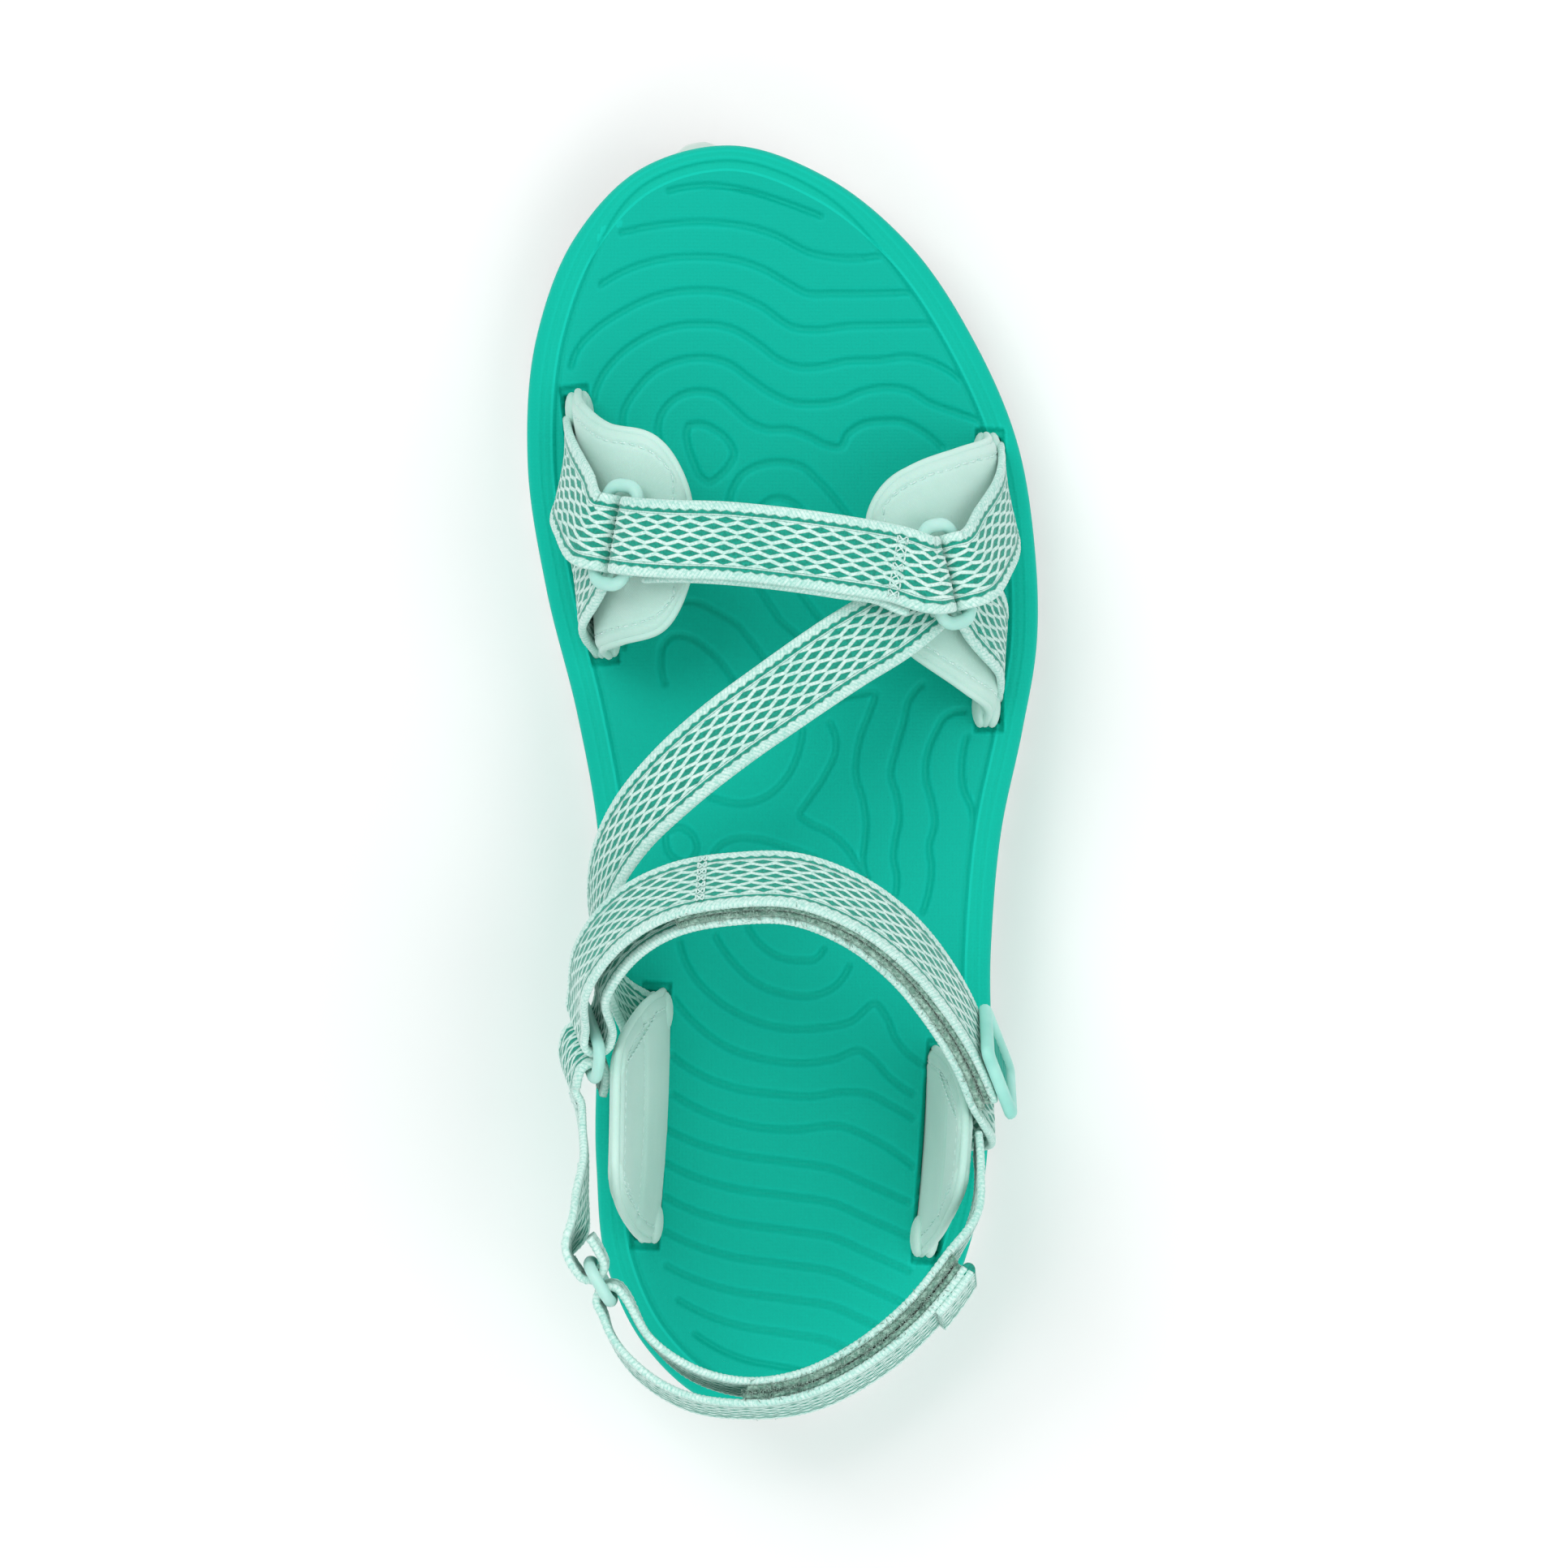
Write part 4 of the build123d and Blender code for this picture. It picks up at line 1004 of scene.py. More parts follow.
def build_forefoot_straps():
    medial = forefoot_path(
        "medial_forefoot", TOE_RING_M, TOE_FACE_M,
        (68.0, [(-45.0, 63.5, 36.0), (-43.2, 57.5, 46.5)], [(-0.9, 0.1, 0.3), (-0.7, 0.1, 0.7)]),
        (34.5, [(-40.0, 44.5, 45.0), (-42.2, 38.0, 36.0)], [(-0.7, 0.1, 0.7), (-0.95, 0, 0.2)]),
    )
    webbing("medial_forefoot_strap", medial, "medial_forefoot_webbing")
    lateral = forefoot_path(
        "lateral_forefoot", TOE_RING_L, TOE_FACE_L,
        (62.0, [(46.4, 57.0, 35.0), (43.6, 50.0, 45.5)], [(0.9, 0.1, 0.3), (0.7, 0.1, 0.7)]),
        (25.0, [(41.0, 35.0, 44.0), (45.4, 28.5, 35.0)], [(0.7, 0.1, 0.7), (0.95, 0, 0.2)]),
    )
    webbing("lateral_forefoot_strap", lateral, "lateral_forefoot_webbing")


def build_toe_strap():
    start = fold(TOE_RING_M["strap"], TOE_FACE_M, -TOE_RING_M["across"], TOE_RING_M["along"], 180, 0)
    end = fold(TOE_RING_L["strap"], TOE_FACE_L, -TOE_RING_L["across"], TOE_RING_L["along"])
    points = [(-24, 49.3, 62.3), (-12, 48.8, 65.3), (0, 47.6, 66.2), (12, 46, 65), (23, 44.2, 61.6)]
    faces = [(-0.35, 0, 0.94), (-0.18, 0, 0.98), (0, 0, 1), (0.2, 0.03, 0.98), (0.4, 0.07, 0.91)]
    middle = run(points, faces, before=start[-1][0], after=end[0][0])
    path = Path(start + middle + end)
    webbing("toe_strap_top", path, "toe_strap")
    drops = (2.9, 1.7, 1.7, 1.7, 2.7)
    lower = [(c - f * d, a) for (c, a), f, d in zip(middle, faces_of(middle), drops)]
    backing = [(start[0][0] + TOE_RING_M["across"] * 2.0, start[0][1])] + lower
    backing += [(end[-1][0] + TOE_RING_L["across"] * 2.9, end[-1][1])]
    webbing("toe_strap_under", Path(backing), "toe_strap_backing", shift=UNDER_SHIFT)
    row = path.row_near((23, 44.2, 61.6))
    threads("toe_strap_stitches", seam_on(path, row, 1.1, SEAM_LIFT), "toe_strap_seam")


def build_instep_strap():
    outward = slot_frame("medial_heel")[3]
    outward = (outward[0], outward[1], 0)
    ends = [slot_point("medial_heel", -51.5, 2.0, z) for z in (33, 9)]
    points = [
        (29.0, 38.2, 51.0), (22.9, 33.0, 54.6), (12.0, 26.0, 60.2), (-1.0, 17.0, 66.0), (-12.0, 9.0, 69.5),
        (-22.0, 0.5, 70.5), (-30.5, -8.5, 67.5), (-36.0, -18.0, 61.0), (-38.0, -27.5, 53.5),
        (-37.0, -37.5, 45.5), (-33.0, -46.0, 38.5),
    ]
    faces = [
        (0.45, 0.2, 0.87), (0.42, 0.22, 0.88), (0.3, 0.3, 0.9), (0.1, 0.35, 0.93), (-0.1, 0.35, 0.93),
        (-0.35, 0.35, 0.87), (-0.62, 0.3, 0.72), (-0.83, 0.2, 0.52), (-0.95, 0.05, 0.3),
        (-0.98, 0, 0.15), (-1, 0, 0), outward, outward,
    ]
    webbing("instep_strap_web", Path(run(points + ends, faces)), "instep_strap")


def build_heel_webbing():
    """The webbing outside the medial heel pad, folded round the ankle ring and the heel ring."""
    ankle_turn = fold(ANKLE_RING["anchor"], -ANKLE_FACE, ANKLE_RING["across"], ANKLE_RING["along"])
    heel_turn = fold(HEEL_RING["anchor"], HEEL_FACE, HEEL_RING["across"], -HEEL_RING["along"])
    ankle_tail = [(ankle_turn[0][0] - ANKLE_RING["across"] * 5, ankle_turn[0][1])]
    ankle_lead = [(ankle_turn[-1][0] - ANKLE_RING["across"] * 4, ankle_turn[-1][1])]
    heel_lead = [(heel_turn[0][0] - HEEL_RING["across"] * 4, heel_turn[0][1])]
    heel_tail = [(heel_turn[-1][0] - HEEL_RING["across"] * 5, heel_turn[-1][1])]
    points = [(-41.6, -65.5, 59.0), (-40.6, -73.0, 60.3), (-40.4, -80.0, 63.6), (-41.0, -87.5, 69.0)]
    faces = [(-1, -0.05, 0.1), (-1, 0, 0), (-1, 0, 0), (-0.97, -0.2, 0)]
    middle = run(points, faces, before=ankle_lead[0][0], after=heel_lead[0][0])
    path = Path(ankle_tail + ankle_turn + ankle_lead + middle + heel_lead + heel_turn + heel_tail)
    webbing("medial_heel_strap", path, "medial_heel_webbing")
    row = path.row_near((-40.6, -73.0, 60.3))
    parts = []
    for shift in (-9, 9):
        parts += seam_on(path, path.row_at(path.along[row] + shift), 0.9, SEAM_LIFT)
    threads("medial_heel_stitches", parts)


# ---- rings ----
def rounded(half_long, half_wide, corner, count=72):
    """An oblong with rounded corners, as plan points."""
    plan = []
    for cx, cy, start in ((1, 1, 0), (-1, 1, 90), (-1, -1, 180), (1, -1, 270)):
        for step in range(count // 4):
            angle = math.radians(start + 90 * step / (count // 4 - 1))
            plan.append((cx * (half_long - corner) + corner * math.cos(angle),
                         cy * (half_wide - corner) + corner * math.sin(angle)))
    return np.array(plan)


def build_ring(name, ring):
    """A moulded ring: a rounded oblong of slightly flattened round bar with a faint parting line."""
    half_long = RING_LENGTH / 2
    plan = spline(rounded(half_long, RING_SPACING / 2, RING_CORNER, 36), 150, closed=True)
    ahead = unit(np.roll(plan, -1, axis=0) - np.roll(plan, 1, axis=0))
    out = np.stack([ahead[:, 1], -ahead[:, 0]], axis=1)
    normal = np.cross(ring["along"], ring["across"])
    angles = 2 * np.pi * np.arange(20) / 20
    end_share = np.abs(plan[:, 0]) / half_long
    wide = RING_LOOK_R * (1.0 + 0.1 * smoothstep(0.8, 1.0, end_share))
    line = 0.05 * np.exp(-((np.sin(angles)) / 0.12) ** 2)
    reach_out = (wide[:, None] + line[None, :]) * np.cos(angles)[None, :]
    reach_up = (RING_LOOK_R * 0.98) * np.sin(angles)[None, :] * np.ones_like(reach_out)
    flat = plan[:, None, :] + out[:, None, :] * reach_out[..., None]
    points = (
        ring["middle"] + flat[..., 0:1] * ring["along"] + flat[..., 1:2] * ring["across"]
        + reach_up[..., None] * normal
    ).reshape(-1, 3)
    faces = []
    count = len(plan)
    for i in range(count):
        for k in range(20):
            a, b = i * 20 + k, i * 20 + (k + 1) % 20
            c, d = ((i + 1) % count) * 20 + (k + 1) % 20, ((i + 1) % count) * 20 + k
            faces.append([a, d, c, b])
    return place(make_mesh(name + "_oval", points, faces, RING), name, "ring_plastic", name)


build_forefoot_straps()
build_toe_strap()
build_instep_strap()
build_heel_webbing()
build_ring("medial_forefoot_ring", TOE_RING_M)
build_ring("lateral_forefoot_ring", TOE_RING_L)
build_ring("medial_ankle_ring", ANKLE_RING)
build_ring("medial_heel_ring", HEEL_RING)


# ---- pads ----
PAD_ROWS = 90
PAD_COLUMNS = 96
PAD_CORNER = 7.0
PAD_SEAM_INSET = 2.7
PAD_SHIFT = -0.9        # a pad stands this far inside its slot's middle line
PAD_FOOT_Z = 12
MIDDLE_SEAM = 0.66      # height of the lengthwise seam of a heel pad, as a share of its rows
LOBE = (1.75, 4.4, 4.6)  # half sizes of a pad's rounded tip: out, ahead, up


def pad_surface(rows, swell):
    """Middle surface, normals and half thickness of a crowned pad over a grid from slot to upper edge."""
    lines = spline([np.concatenate([front, back]) for front, back in rows], PAD_ROWS)
    front, back = lines[:, :3], lines[:, 3:]
    climb = np.linalg.norm(np.gradient((front + back) / 2, axis=0), axis=1).cumsum()
    from_top = climb[-1] - climb
    t = np.clip(1 - from_top / PAD_CORNER, 0, 1)
    margin = PAD_CORNER * (1 - np.sqrt(1 - t**2 * 0.98))
    share = (margin / np.linalg.norm(back - front, axis=1))[:, None]
    u = (1 - np.cos(np.linspace(0, math.pi, PAD_COLUMNS))) / 2 * 0.35 + np.linspace(0, 1, PAD_COLUMNS) * 0.65
    place_u = share + (1 - 2 * share) * u[None, :]
    middle = front[:, None, :] + (back - front)[:, None, :] * place_u[..., None]
    normal = unit(np.cross(np.gradient(middle, axis=0), np.gradient(middle, axis=1)))
    v = climb / climb[-1]
    middle = middle + normal * swell(u[None, :], v[:, None])[..., None]
    width = np.linalg.norm(back - front, axis=1)[:, None]
    edge = np.minimum(u, 1 - u)[None, :] * width
    edge = np.minimum(edge, from_top[:, None] + 0.02)
    half = PAD_THICK / 2 * np.sqrt(np.clip(1 - (1 - np.clip(edge / 2.6, 0, 1)) ** 2, 0, 1))
    half = half * (1 - 0.16 * np.exp(-(((edge - PAD_SEAM_INSET) / 0.5) ** 2)))
    return middle, normal, half + 0.01, edge


def build_pad(name, rows, node, swell=None, middle_seam=False):
    swell = swell or (lambda u, v: 0.9 * np.sin(math.pi * u) * np.sin(math.pi * v))
    middle, normal, half, edge = pad_surface(rows, swell)
    if middle_seam:
        height = np.linspace(0, 1, PAD_ROWS)[:, None]
        half = half * (1 - 0.34 * np.exp(-(((height - MIDDLE_SEAM) / 0.018) ** 2)))
    outer = (middle + normal * half[..., None]).reshape(-1, 3)
    inner = (middle - normal * half[..., None]).reshape(-1, 3)
    faces = shell_faces(PAD_ROWS, PAD_COLUMNS)
    columns = np.linspace(0, 40, PAD_COLUMNS)
    uv = np.stack(np.meshgrid(columns, np.linspace(0, 60, PAD_ROWS)), axis=-1).reshape(-1, 2)
    obj = make_mesh(name, np.vstack([outer, inner]), faces, PAD, np.vstack([uv, uv]))
    place(obj, SOLE, "pad_fabric", node)
    low = PAD_ROWS // 4
    line = [(r, 0) for r in range(low, PAD_ROWS)] + [(PAD_ROWS - 1, c) for c in range(1, PAD_COLUMNS)]
    line += [(r, PAD_COLUMNS - 1) for r in range(PAD_ROWS - 2, low - 1, -1)]
    roll = np.array([middle[r, c] for r, c in line])
    roll = spline(roll[::3], 260)
    place(make_mesh(name + "_rolled_edge", *thread_tube(roll, 0.85, 12), PAD), SOLE, "pad_fabric")
    parts = []
    for sign in (1, -1):
        seam, ups = [], []
        for r, c in line:
            rr = min(r, PAD_ROWS - 1)
            row_edge = np.abs(edge[:, c if 0 < c < PAD_COLUMNS - 1 else 0] - PAD_SEAM_INSET)
            if c in (0, PAD_COLUMNS - 1):
                side = range(PAD_COLUMNS // 2) if c == 0 else range(PAD_COLUMNS - 1, PAD_COLUMNS // 2, -1)
                cc = min(side, key=lambda k: abs(edge[rr, k] - PAD_SEAM_INSET))
                if edge[rr, cc] < PAD_SEAM_INSET - 0.7:
                    continue
            else:
                cc = c
                rr = PAD_ROWS - 1 - int(np.argmin(row_edge[::-1][: PAD_ROWS // 2]))
                if abs(edge[rr, cc] - PAD_SEAM_INSET) > 0.7:
                    continue
            seam.append(middle[rr, cc] + normal[rr, cc] * (half[rr, cc] * sign))
            ups.append(normal[rr, cc] * sign)
        smooth = spline(np.array(seam)[::4], 200)
        rough = np.linspace(0, len(ups) - 1, 200).astype(int)
        parts += stitch_line(smooth, np.array(ups)[rough], 2.3, 0.68, 0.22, 0.17)
        if middle_seam:
            r = round(MIDDLE_SEAM * (PAD_ROWS - 1))
            across = slice(7, PAD_COLUMNS - 7)
            row = middle[r, across] + normal[r, across] * (half[r, across] * sign)[:, None]
            parts += stitch_line(row, normal[r, across] * sign, 2.3, 0.68, 0.1, 0.17)
    threads(name + "_stitches", parts)


def low_rows(slot_name, front_y, back_y, top):
    """The part of a pad inside its slot, as front and back edge points."""
    heights = (PAD_FOOT_Z, top)
    return [tuple(slot_point(slot_name, y, PAD_SHIFT, z) for y in (front_y, back_y)) for z in heights]


def lobe(centre, ahead, outward, rings=14, sides=20):
    """A small rounded roll of pad fabric."""
    tilt = np.linspace(0.06, math.pi - 0.06, rings)[:, None]
    turn = np.linspace(0, 2 * math.pi, sides, endpoint=False)[None, :]
    out = (np.sin(tilt) * np.cos(turn) * LOBE[0]).ravel()
    on = (np.sin(tilt) * np.sin(turn) * LOBE[1]).ravel()
    up = (np.cos(tilt) * LOBE[2] * np.ones_like(turn)).ravel()
    points = centre + out[:, None] * outward + on[:, None] * ahead + up[:, None] * np.array([0, 0, 1.0])
    faces = grid_faces(rings, sides, close_cols=True).tolist()
    faces += [list(range(sides))[::-1], list(range((rings - 1) * sides, rings * sides))]
    return points, faces


def build_lobes(name, slot_name, ends):
    """The folded tips of a pad: two rolls side by side at each end, sunk into its slot."""
    _, _, ahead, outward = slot_frame(slot_name)
    ahead = np.array([ahead[0], ahead[1], 0.0])
    outward = np.array([outward[0], outward[1], 0.0])
    parts = []
    for y in ends:
        for shift in (-1.9, 0.6):
            centre = np.array(slot_point(slot_name, y, shift, top_height(y) + 0.4))
            parts.append(lobe(centre, ahead, outward))
    place(make_mesh(name + "_tips", *join(parts), PAD), SOLE, "pad_fabric")


def build_pads():
    build_lobes("medial_forefoot_wing", "medial_forefoot", (77.0, 30.0))
    build_lobes("lateral_forefoot_wing", "lateral_forefoot", (68.5, 15.5))
    build_lobes("medial_heel_wing", "medial_heel", (-48.0, -91.5))
    build_lobes("lateral_heel_wing", "lateral_heel", (-94.5,))
    build_pad("medial_forefoot_wing", low_rows("medial_forefoot", 81, 26, 26) + [
        ((-41.8, 78, 36), (-37.2, 27.5, 36)), ((-36, 73, 45), (-32.5, 29, 45)),
        ((-27, 70.5, 50.5), (-25.5, 31, 50.5)), ((-19.2, 62.5, 53), (-19.5, 37, 53)),
    ], "medial_forefoot_pad")
    build_pad("lateral_forefoot_wing", low_rows("lateral_forefoot", 72, 12, 26) + [
        ((42.4, 70.5, 33), (42.6, 15, 33)), ((36, 68, 41), (37.5, 19, 41)),
        ((27, 64.5, 47), (30, 24, 47)), ((16.5, 58, 50.5), (22.5, 29, 50.5)),
    ], "lateral_forefoot_pad")
    build_pad("medial_heel_wing", low_rows("medial_heel", -44, -95, 33) + [
        ((-28.5, -46, 48), (-30, -93, 48)), ((-32, -51, 62), (-33, -87, 62)),
        ((-33.6, -55, 72.5), (-34, -82, 72.5)),
    ], "medial_heel_pad", middle_seam=True)
    build_pad("lateral_heel_wing", low_rows("lateral_heel", -56, -98, 33) + [
        ((34.4, -58, 48), (32.2, -93, 48)), ((36.4, -63, 62), (34.6, -87, 62)),
        ((37.2, -67, 71.5), (36, -83, 71.5)),
    ], "lateral_heel_pad", middle_seam=True)


# ---- hook-and-loop closures ----
ANKLE_OUTER = [
    (42.6, -60.5, 67.0), (39.2, -52.0, 73.0), (33.2, -41.7, 80.0), (25.1, -32.0, 87.0),
    (15.4, -24.7, 92.0), (2.4, -19.8, 95.0), (-10.5, -19.8, 95.0), (-21.9, -21.9, 92.5),
    (-33.0, -28.0, 86.5), (-40.0, -37.0, 79.0),
]
ANKLE_FACES = [
    (0.93, 0.3, 0.2), (0.88, 0.36, 0.3), (0.75, 0.48, 0.46), (0.55, 0.6, 0.58), (0.3, 0.7, 0.64),
    (0.08, 0.755, 0.656), (-0.15, 0.75, 0.64), (-0.4, 0.68, 0.62), (-0.65, 0.5, 0.56), (-0.86, 0.28, 0.42),
]
HEEL_INNER = [
    (33.4, -97.2, 71.0), (25.2, -107.4, 73.0), (15.0, -115.6, 74.0), (4.0, -121.0, 74.0),
    (-7.4, -122.4, 74.0), (-18.2, -119.4, 74.0), (-27.2, -112.0, 74.0),
]
HEEL_FACES = [
    (0.8, -0.6, 0.2), (0.66, -0.75, 0.27), (0.47, -0.88, 0.3), (0.2, -0.98, 0.3), (-0.12, -0.99, 0.27),
    (-0.42, -0.9, 0.2), (-0.6, -0.8, 0.06),
]
PILE_FIBRES = 1100
HOOK_FIBRES = 380
FOLD_CUT = 8            # of the fold's ten steps, those that stay with the inner strap
HEM = 11.0              # how far the heel flap is folded back on itself
BEND_REACH = 9.0        # length taken on each side of a hinge for its two end points


def build_closure(name, start, inner, turn, ring, outer, split, patch_ends, hinge_reach):
    """One strap folded through a ring: the fixed length inside, the flap outside, and its patches."""
    hinge = (turn[-1][0] + ring["across"] * 0.9, turn[-1][1])
    path = Path(start + inner + turn + [hinge] + outer[::-1])
    fold_row = path.row_near(turn[FOLD_CUT][0])
    last = len(path.centre) - 1
    hinge_row = path.row_near(hinge[0], fold_row)
    mid_row = path.row_near(outer[split[1]][0], fold_row)
    end_row = path.row_near(outer[split[0]][0], fold_row)
    near_cut = (hinge_row + mid_row) // 2
    far_cut = (mid_row + end_row) // 2
    near, mid, end = (f"{name}_flap_{part}" for part in ("near", "mid", "end"))

    def reach(row, back, ahead):
        low = path.row_at(path.along[row] - back)
        high = path.row_at(path.along[row] + ahead)
        return path.centre[low] * MM, path.centre[high] * MM

    def span(row, cut_low, cut_high):
        back = min(BEND_REACH, path.along[row] - path.along[cut_low] - 0.5)
        ahead = min(BEND_REACH, path.along[cut_high] - path.along[row] - 0.5)
        return reach(row, back, ahead)

    root_ahead = min(hinge_reach, path.along[near_cut] - path.along[hinge_row] - 0.5)
    joints = {
        "root": (SOLE, near, *reach(hinge_row, 2.0, root_ahead)),
        "mid": (near, mid, *span(mid_row, near_cut, far_cut)),
        "end": (mid, end, *span(end_row, far_cut, last)),
    }
    webbing(f"{name}_strap_fixed", path, f"{name}_strap", last=fold_row, capped=(True, False))
    for part, low, high, node in (
        ("root", fold_row, near_cut, f"{name}_flap_root"),
        ("mid", near_cut, far_cut, f"{name}_flap_middle"),
        ("end", far_cut, last, f"{name}_flap_tip"),
    ):
        webbing(f"{name}_flap_web_{part}", path, node, first=low, last=high, body=joints[part],
                capped=(False, part == "end"))
    loop_low = path.row_near(inner[patch_ends[0]][0], 0, fold_row)
    loop_high = path.row_near(inner[patch_ends[1]][0], 0, fold_row)
    patch(f"{name}_pile", path, loop_low, loop_high, LOOP_PATCH, LOOP_PILE, "loop_pile",
          f"{name}_loop_patch", SOLE)
    fringe(f"{name}_pile_fibres", path, loop_low, loop_high, LOOP_PATCH, LOOP_PILE, SOLE, PILE_FIBRES)
    hook_start = path.row_near(outer[patch_ends[1]][0], fold_row)
    for part, low, high, node in (
        ("mid", hook_start, far_cut, f"{name}_hook_patch_middle"),
        ("end", far_cut, last, f"{name}_hook_patch_tip"),
    ):
        bend = joints[part]
        patch(f"{name}_hooks_{part}", path, low, high, HOOK_PATCH, HOOK_TAPE, "hook_tape", node, bend)
        fringe(f"{name}_hook_fibres_{part}", path, low, high, HOOK_PATCH, HOOK_TAPE, bend, HOOK_FIBRES)
    return path, joints


def build_ankle_closure():
    turn = fold(ANKLE_RING["strap"], -ANKLE_FACE, -ANKLE_RING["across"], ANKLE_RING["along"])
    outer = run(ANKLE_OUTER, ANKLE_FACES, after=turn[-1][0])
    inner = moved(outer, -LAYER_STEP)
    outward = slot_frame("lateral_heel")[3]
    outward = (outward[0], outward[1], 0)
    low = [slot_point("lateral_heel", -67.0, 2.0, z) for z in (9, 33)]
    start = run(low + [(39.6, -68.0, 48.0), (42.1, -66.5, 58.5)],
                [outward, outward, (1, 0, -0.2), (1, 0.05, -0.05)], after=inner[0][0])
    path, joints = build_closure("ankle", start, inner, turn, ANKLE_RING, outer, (3, 7), (0, 7), 5.0)
    row = path.row_near((-16.0, -20.6, 93.8), len(path.centre) // 2)
    threads("ankle_flap_stitches", seam_on(path, row, 0.8, -WEB_THICK / 2 - 0.35), body=joints["mid"])


def build_heel_closure():
    turn = fold(HEEL_RING["strap"], -HEEL_FACE, -HEEL_RING["across"], HEEL_RING["along"])
    inner = run(HEEL_INNER, HEEL_FACES, after=turn[0][0])
    outer = moved(inner, LAYER_STEP)[:5]
    bulge = [(-19.9, -125.0, 74.0), (-29.8, -118.6, 74.0), (-35.0, -111.4, 74.0)]
    bulge_faces = [(-0.4, -0.92, 0.24), (-0.62, -0.78, 0.16), (-0.8, -0.6, 0.05)]
    outer += run(bulge, bulge_faces, outer[4][0], turn[-1][0])
    start = run([(39.6, -74.0, 60.5), (39.8, -82.0, 64.0), (38.2, -90.0, 67.8)],
                [(1, 0, 0), (1, -0.08, 0), (0.93, -0.36, 0)], after=inner[0][0])
    path, joints = build_closure("heel", start, inner, turn, HEEL_RING, outer, (2, 4), (0, 4), 4.0)
    last = len(path.centre) - 1
    webbing("heel_flap_hem", path, first=path.row_at(path.along[last] - HEM), last=last, body=joints["end"],
            lift=-WEB_THICK - 0.1)
    tip = path.centre[last] - path.face[last] * WEB_THICK * 0.55
    fold_line = [tip + path.across[last] * c for c in np.linspace(-7.7, 7.7, 12)]
    roll = thread_tube(fold_line, WEB_THICK * 1.02, 16)
    place(make_mesh("heel_flap_fold", *roll, WEBBING), joints["end"], "webbing")


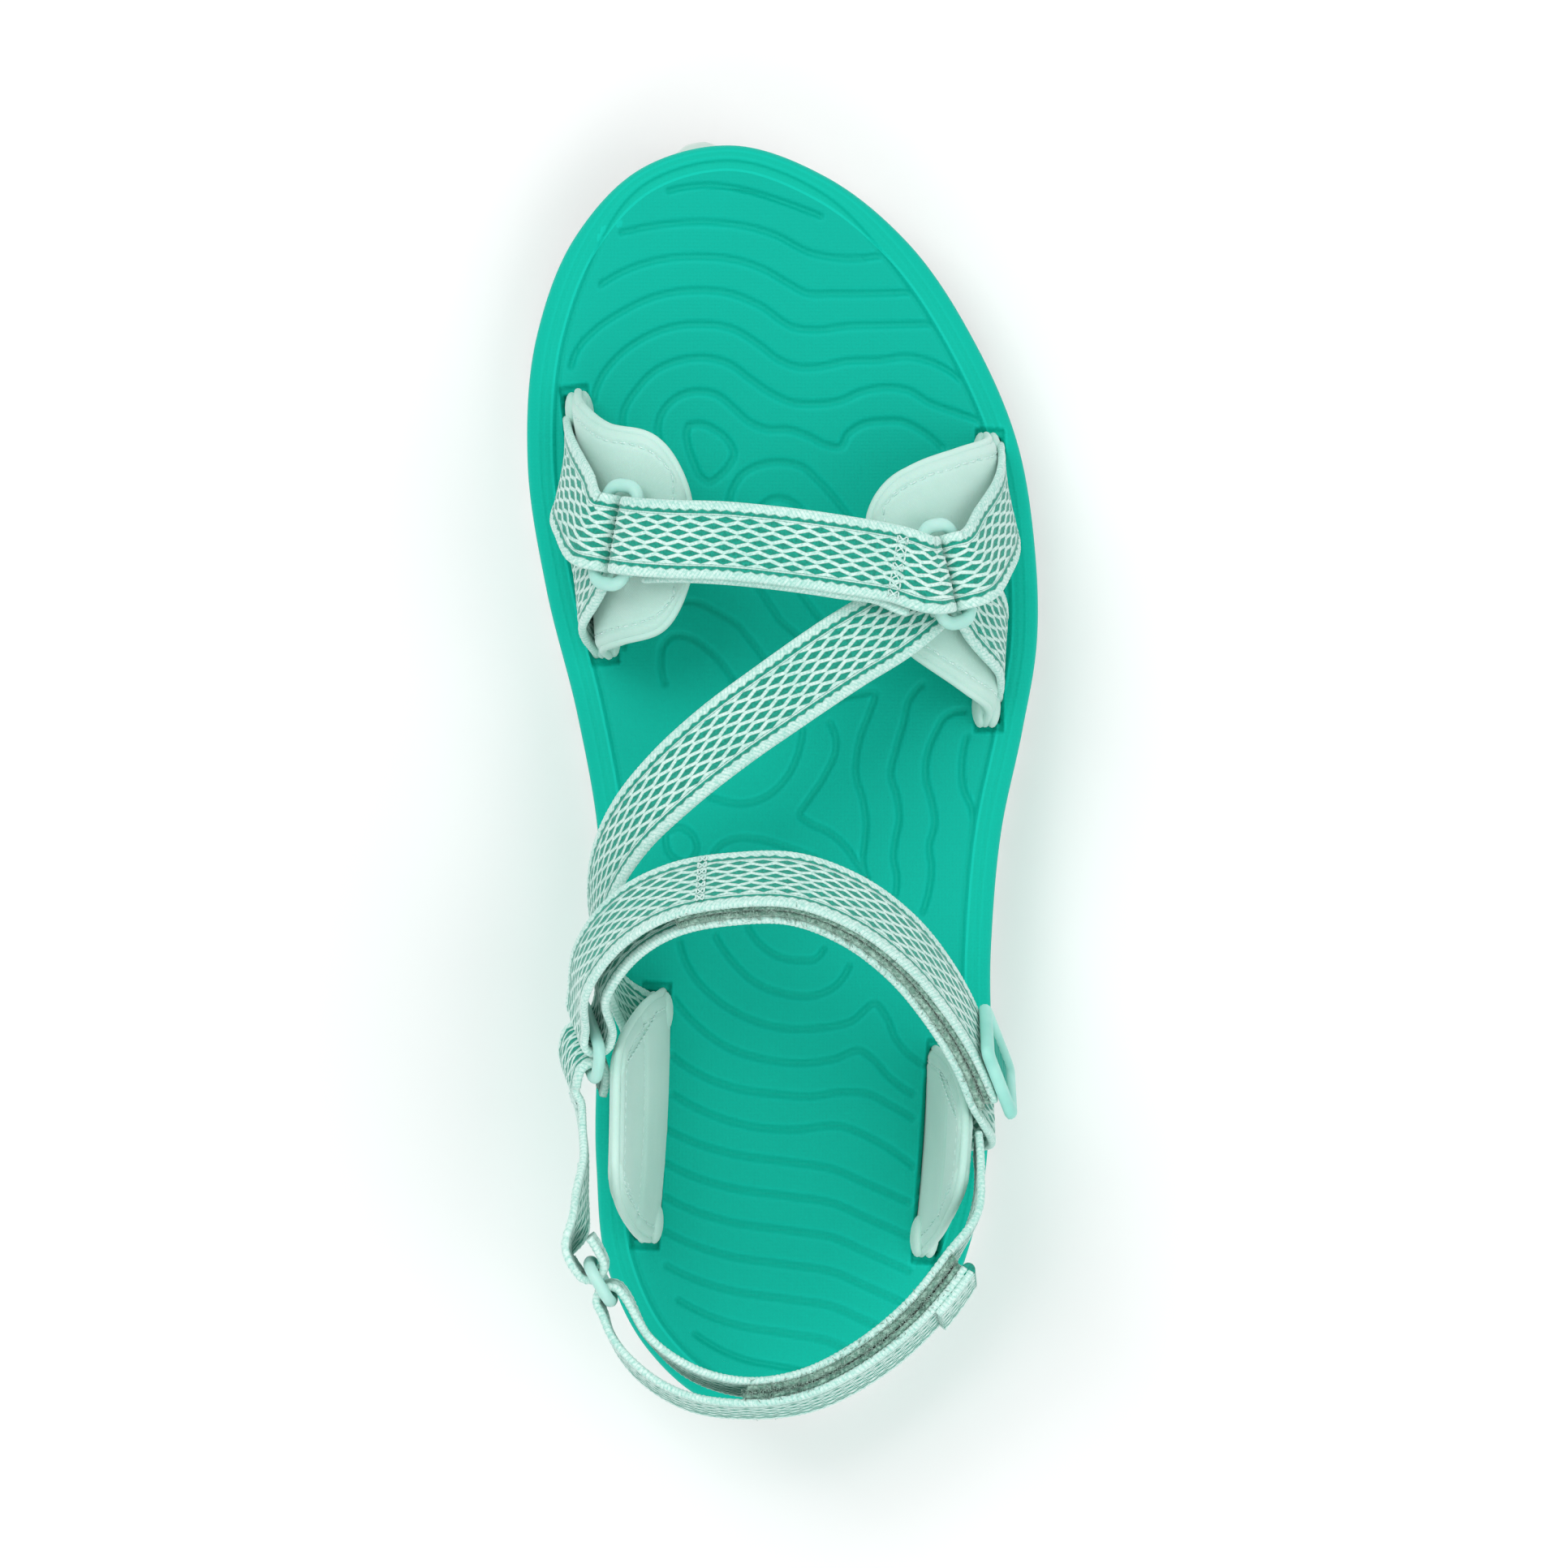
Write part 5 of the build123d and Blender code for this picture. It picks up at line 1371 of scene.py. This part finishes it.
def build_pull_tab(outer):
    """A moulded grip on the ankle flap's end: a bevelled frame round a ribbed inset."""
    centres = np.array([c for c, _ in outer])
    across = unit(outer[0][1])
    ahead = square_to(centres[1] - centres[0], across)
    face = np.cross(ahead, across)
    base = centres[0] + face * (WEB_THICK / 2 + 0.5) + ahead * 4.0
    long_half, wide_half = 9.5, 9.0

    def lift(plan, up):
        return base + plan[:, 0:1] * ahead + plan[:, 1:2] * across + face * up

    steps = (
        (0.6, 0.0), (0.1, 0.35), (0.0, 1.0), (0.15, 1.7), (0.6, 2.2), (1.3, 2.4), (2.2, 2.35),
        (2.9, 2.2), (3.3, 1.9), (3.5, 1.4), (3.5, 0.0), (2.0, 0.0),
    )
    rows = [lift(rounded(long_half - d, wide_half - d, max(2.5 - d * 0.5, 0.8)), up) for d, up in steps]
    frame_faces = grid_faces(len(rows) + 1, 72, close_cols=True)
    total = len(rows) * 72
    faces = [[i % total for i in f] for f in frame_faces.tolist()]
    points = np.vstack(rows)
    rim = make_mesh("ankle_pull_tab_frame", points, faces, TAB, sharp=SHARP_ANGLE)
    place(rim, "ankle_flap_end", "tab_plastic", "ankle_pull_tab")
    columns, lines = 60, 56
    half_x, half_y = 5.95, 5.45
    gx, gy = np.meshgrid(np.linspace(-half_x, half_x, columns), np.linspace(-half_y, half_y, lines))
    reach_edge = np.minimum(half_x - np.abs(gx), half_y - np.abs(gy))
    ribs = 0.28 * np.clip(np.sin(gx * 2 * math.pi / 1.9), -0.2, 1) * smoothstep(0.8, 1.6, reach_edge)
    up = 1.35 + ribs - 0.6 * (1 - smoothstep(0, 0.5, reach_edge))
    plan = np.column_stack([gx.ravel(), gy.ravel()])
    top = lift(plan, up.reshape(-1, 1))
    under = lift(plan, 0.2)
    inset = make_mesh("ankle_pull_tab_inset", np.vstack([top, under]), shell_faces(lines, columns), INSET,
                      sharp=SHARP_ANGLE)
    place(inset, "ankle_flap_end", "tab_inset_plastic", "ankle_tab_inset")


build_pads()
build_ankle_closure()
build_heel_closure()
build_pull_tab(run(ANKLE_OUTER, ANKLE_FACES))


# ---- stage, light and camera ----
def build_stage():
    world = bpy.data.worlds.new("studio")
    bpy.context.scene.world = world
    world.use_nodes = True
    world.node_tree.nodes["Background"].inputs["Color"].default_value = (1, 1, 1, 1)
    world.node_tree.nodes["Background"].inputs["Strength"].default_value = 0.62
    floor_mesh = bpy.data.meshes.new("floor")
    half = 3.0
    corners = [(-half, -half, 0), (half, -half, 0), (half, half, 0), (-half, half, 0)]
    floor_mesh.from_pydata(corners, [], [(0, 1, 2, 3)])
    floor = bpy.data.objects.new("floor", floor_mesh)
    bpy.context.scene.collection.objects.link(floor)
    floor.location.z = -0.0005
    n = Nodes("floor_white", rough=0.9)
    floor_mesh.materials.append(n.finish(n.mix(n.noise(3.0), (0.93, 0.93, 0.93, 1), (0.96, 0.96, 0.96, 1))))
    for name, place_at, size, power in (
        ("key_light", (-0.5, 0.7, 1.3), 0.9, 9.0),
        ("fill_light", (0.8, -0.2, 1.2), 1.0, 4.5),
        ("back_light", (0.0, -0.9, 0.9), 0.8, 3.0),
    ):
        lamp = bpy.data.lights.new(name, "AREA")
        lamp.size = size
        lamp.energy = power
        light = bpy.data.objects.new(name, lamp)
        light.location = place_at
        light.rotation_euler = (-Vector(place_at)).to_track_quat("-Z", "Y").to_euler()
        bpy.context.scene.collection.objects.link(light)
    bpy.context.scene.view_settings.view_transform = "Standard"


def build_camera():
    """Straight above, as a shop picture is taken, from a metre and a half."""
    lens = bpy.data.cameras.new("camera")
    lens.lens = 165.0
    lens.sensor_width = 36.0
    camera = bpy.data.objects.new("camera", lens)
    camera.location = (0.0002, -0.0006, 1.525)
    camera.rotation_euler = (0, 0, 0)
    bpy.context.scene.collection.objects.link(camera)
    bpy.context.scene.camera = camera


build_stage()
build_camera()
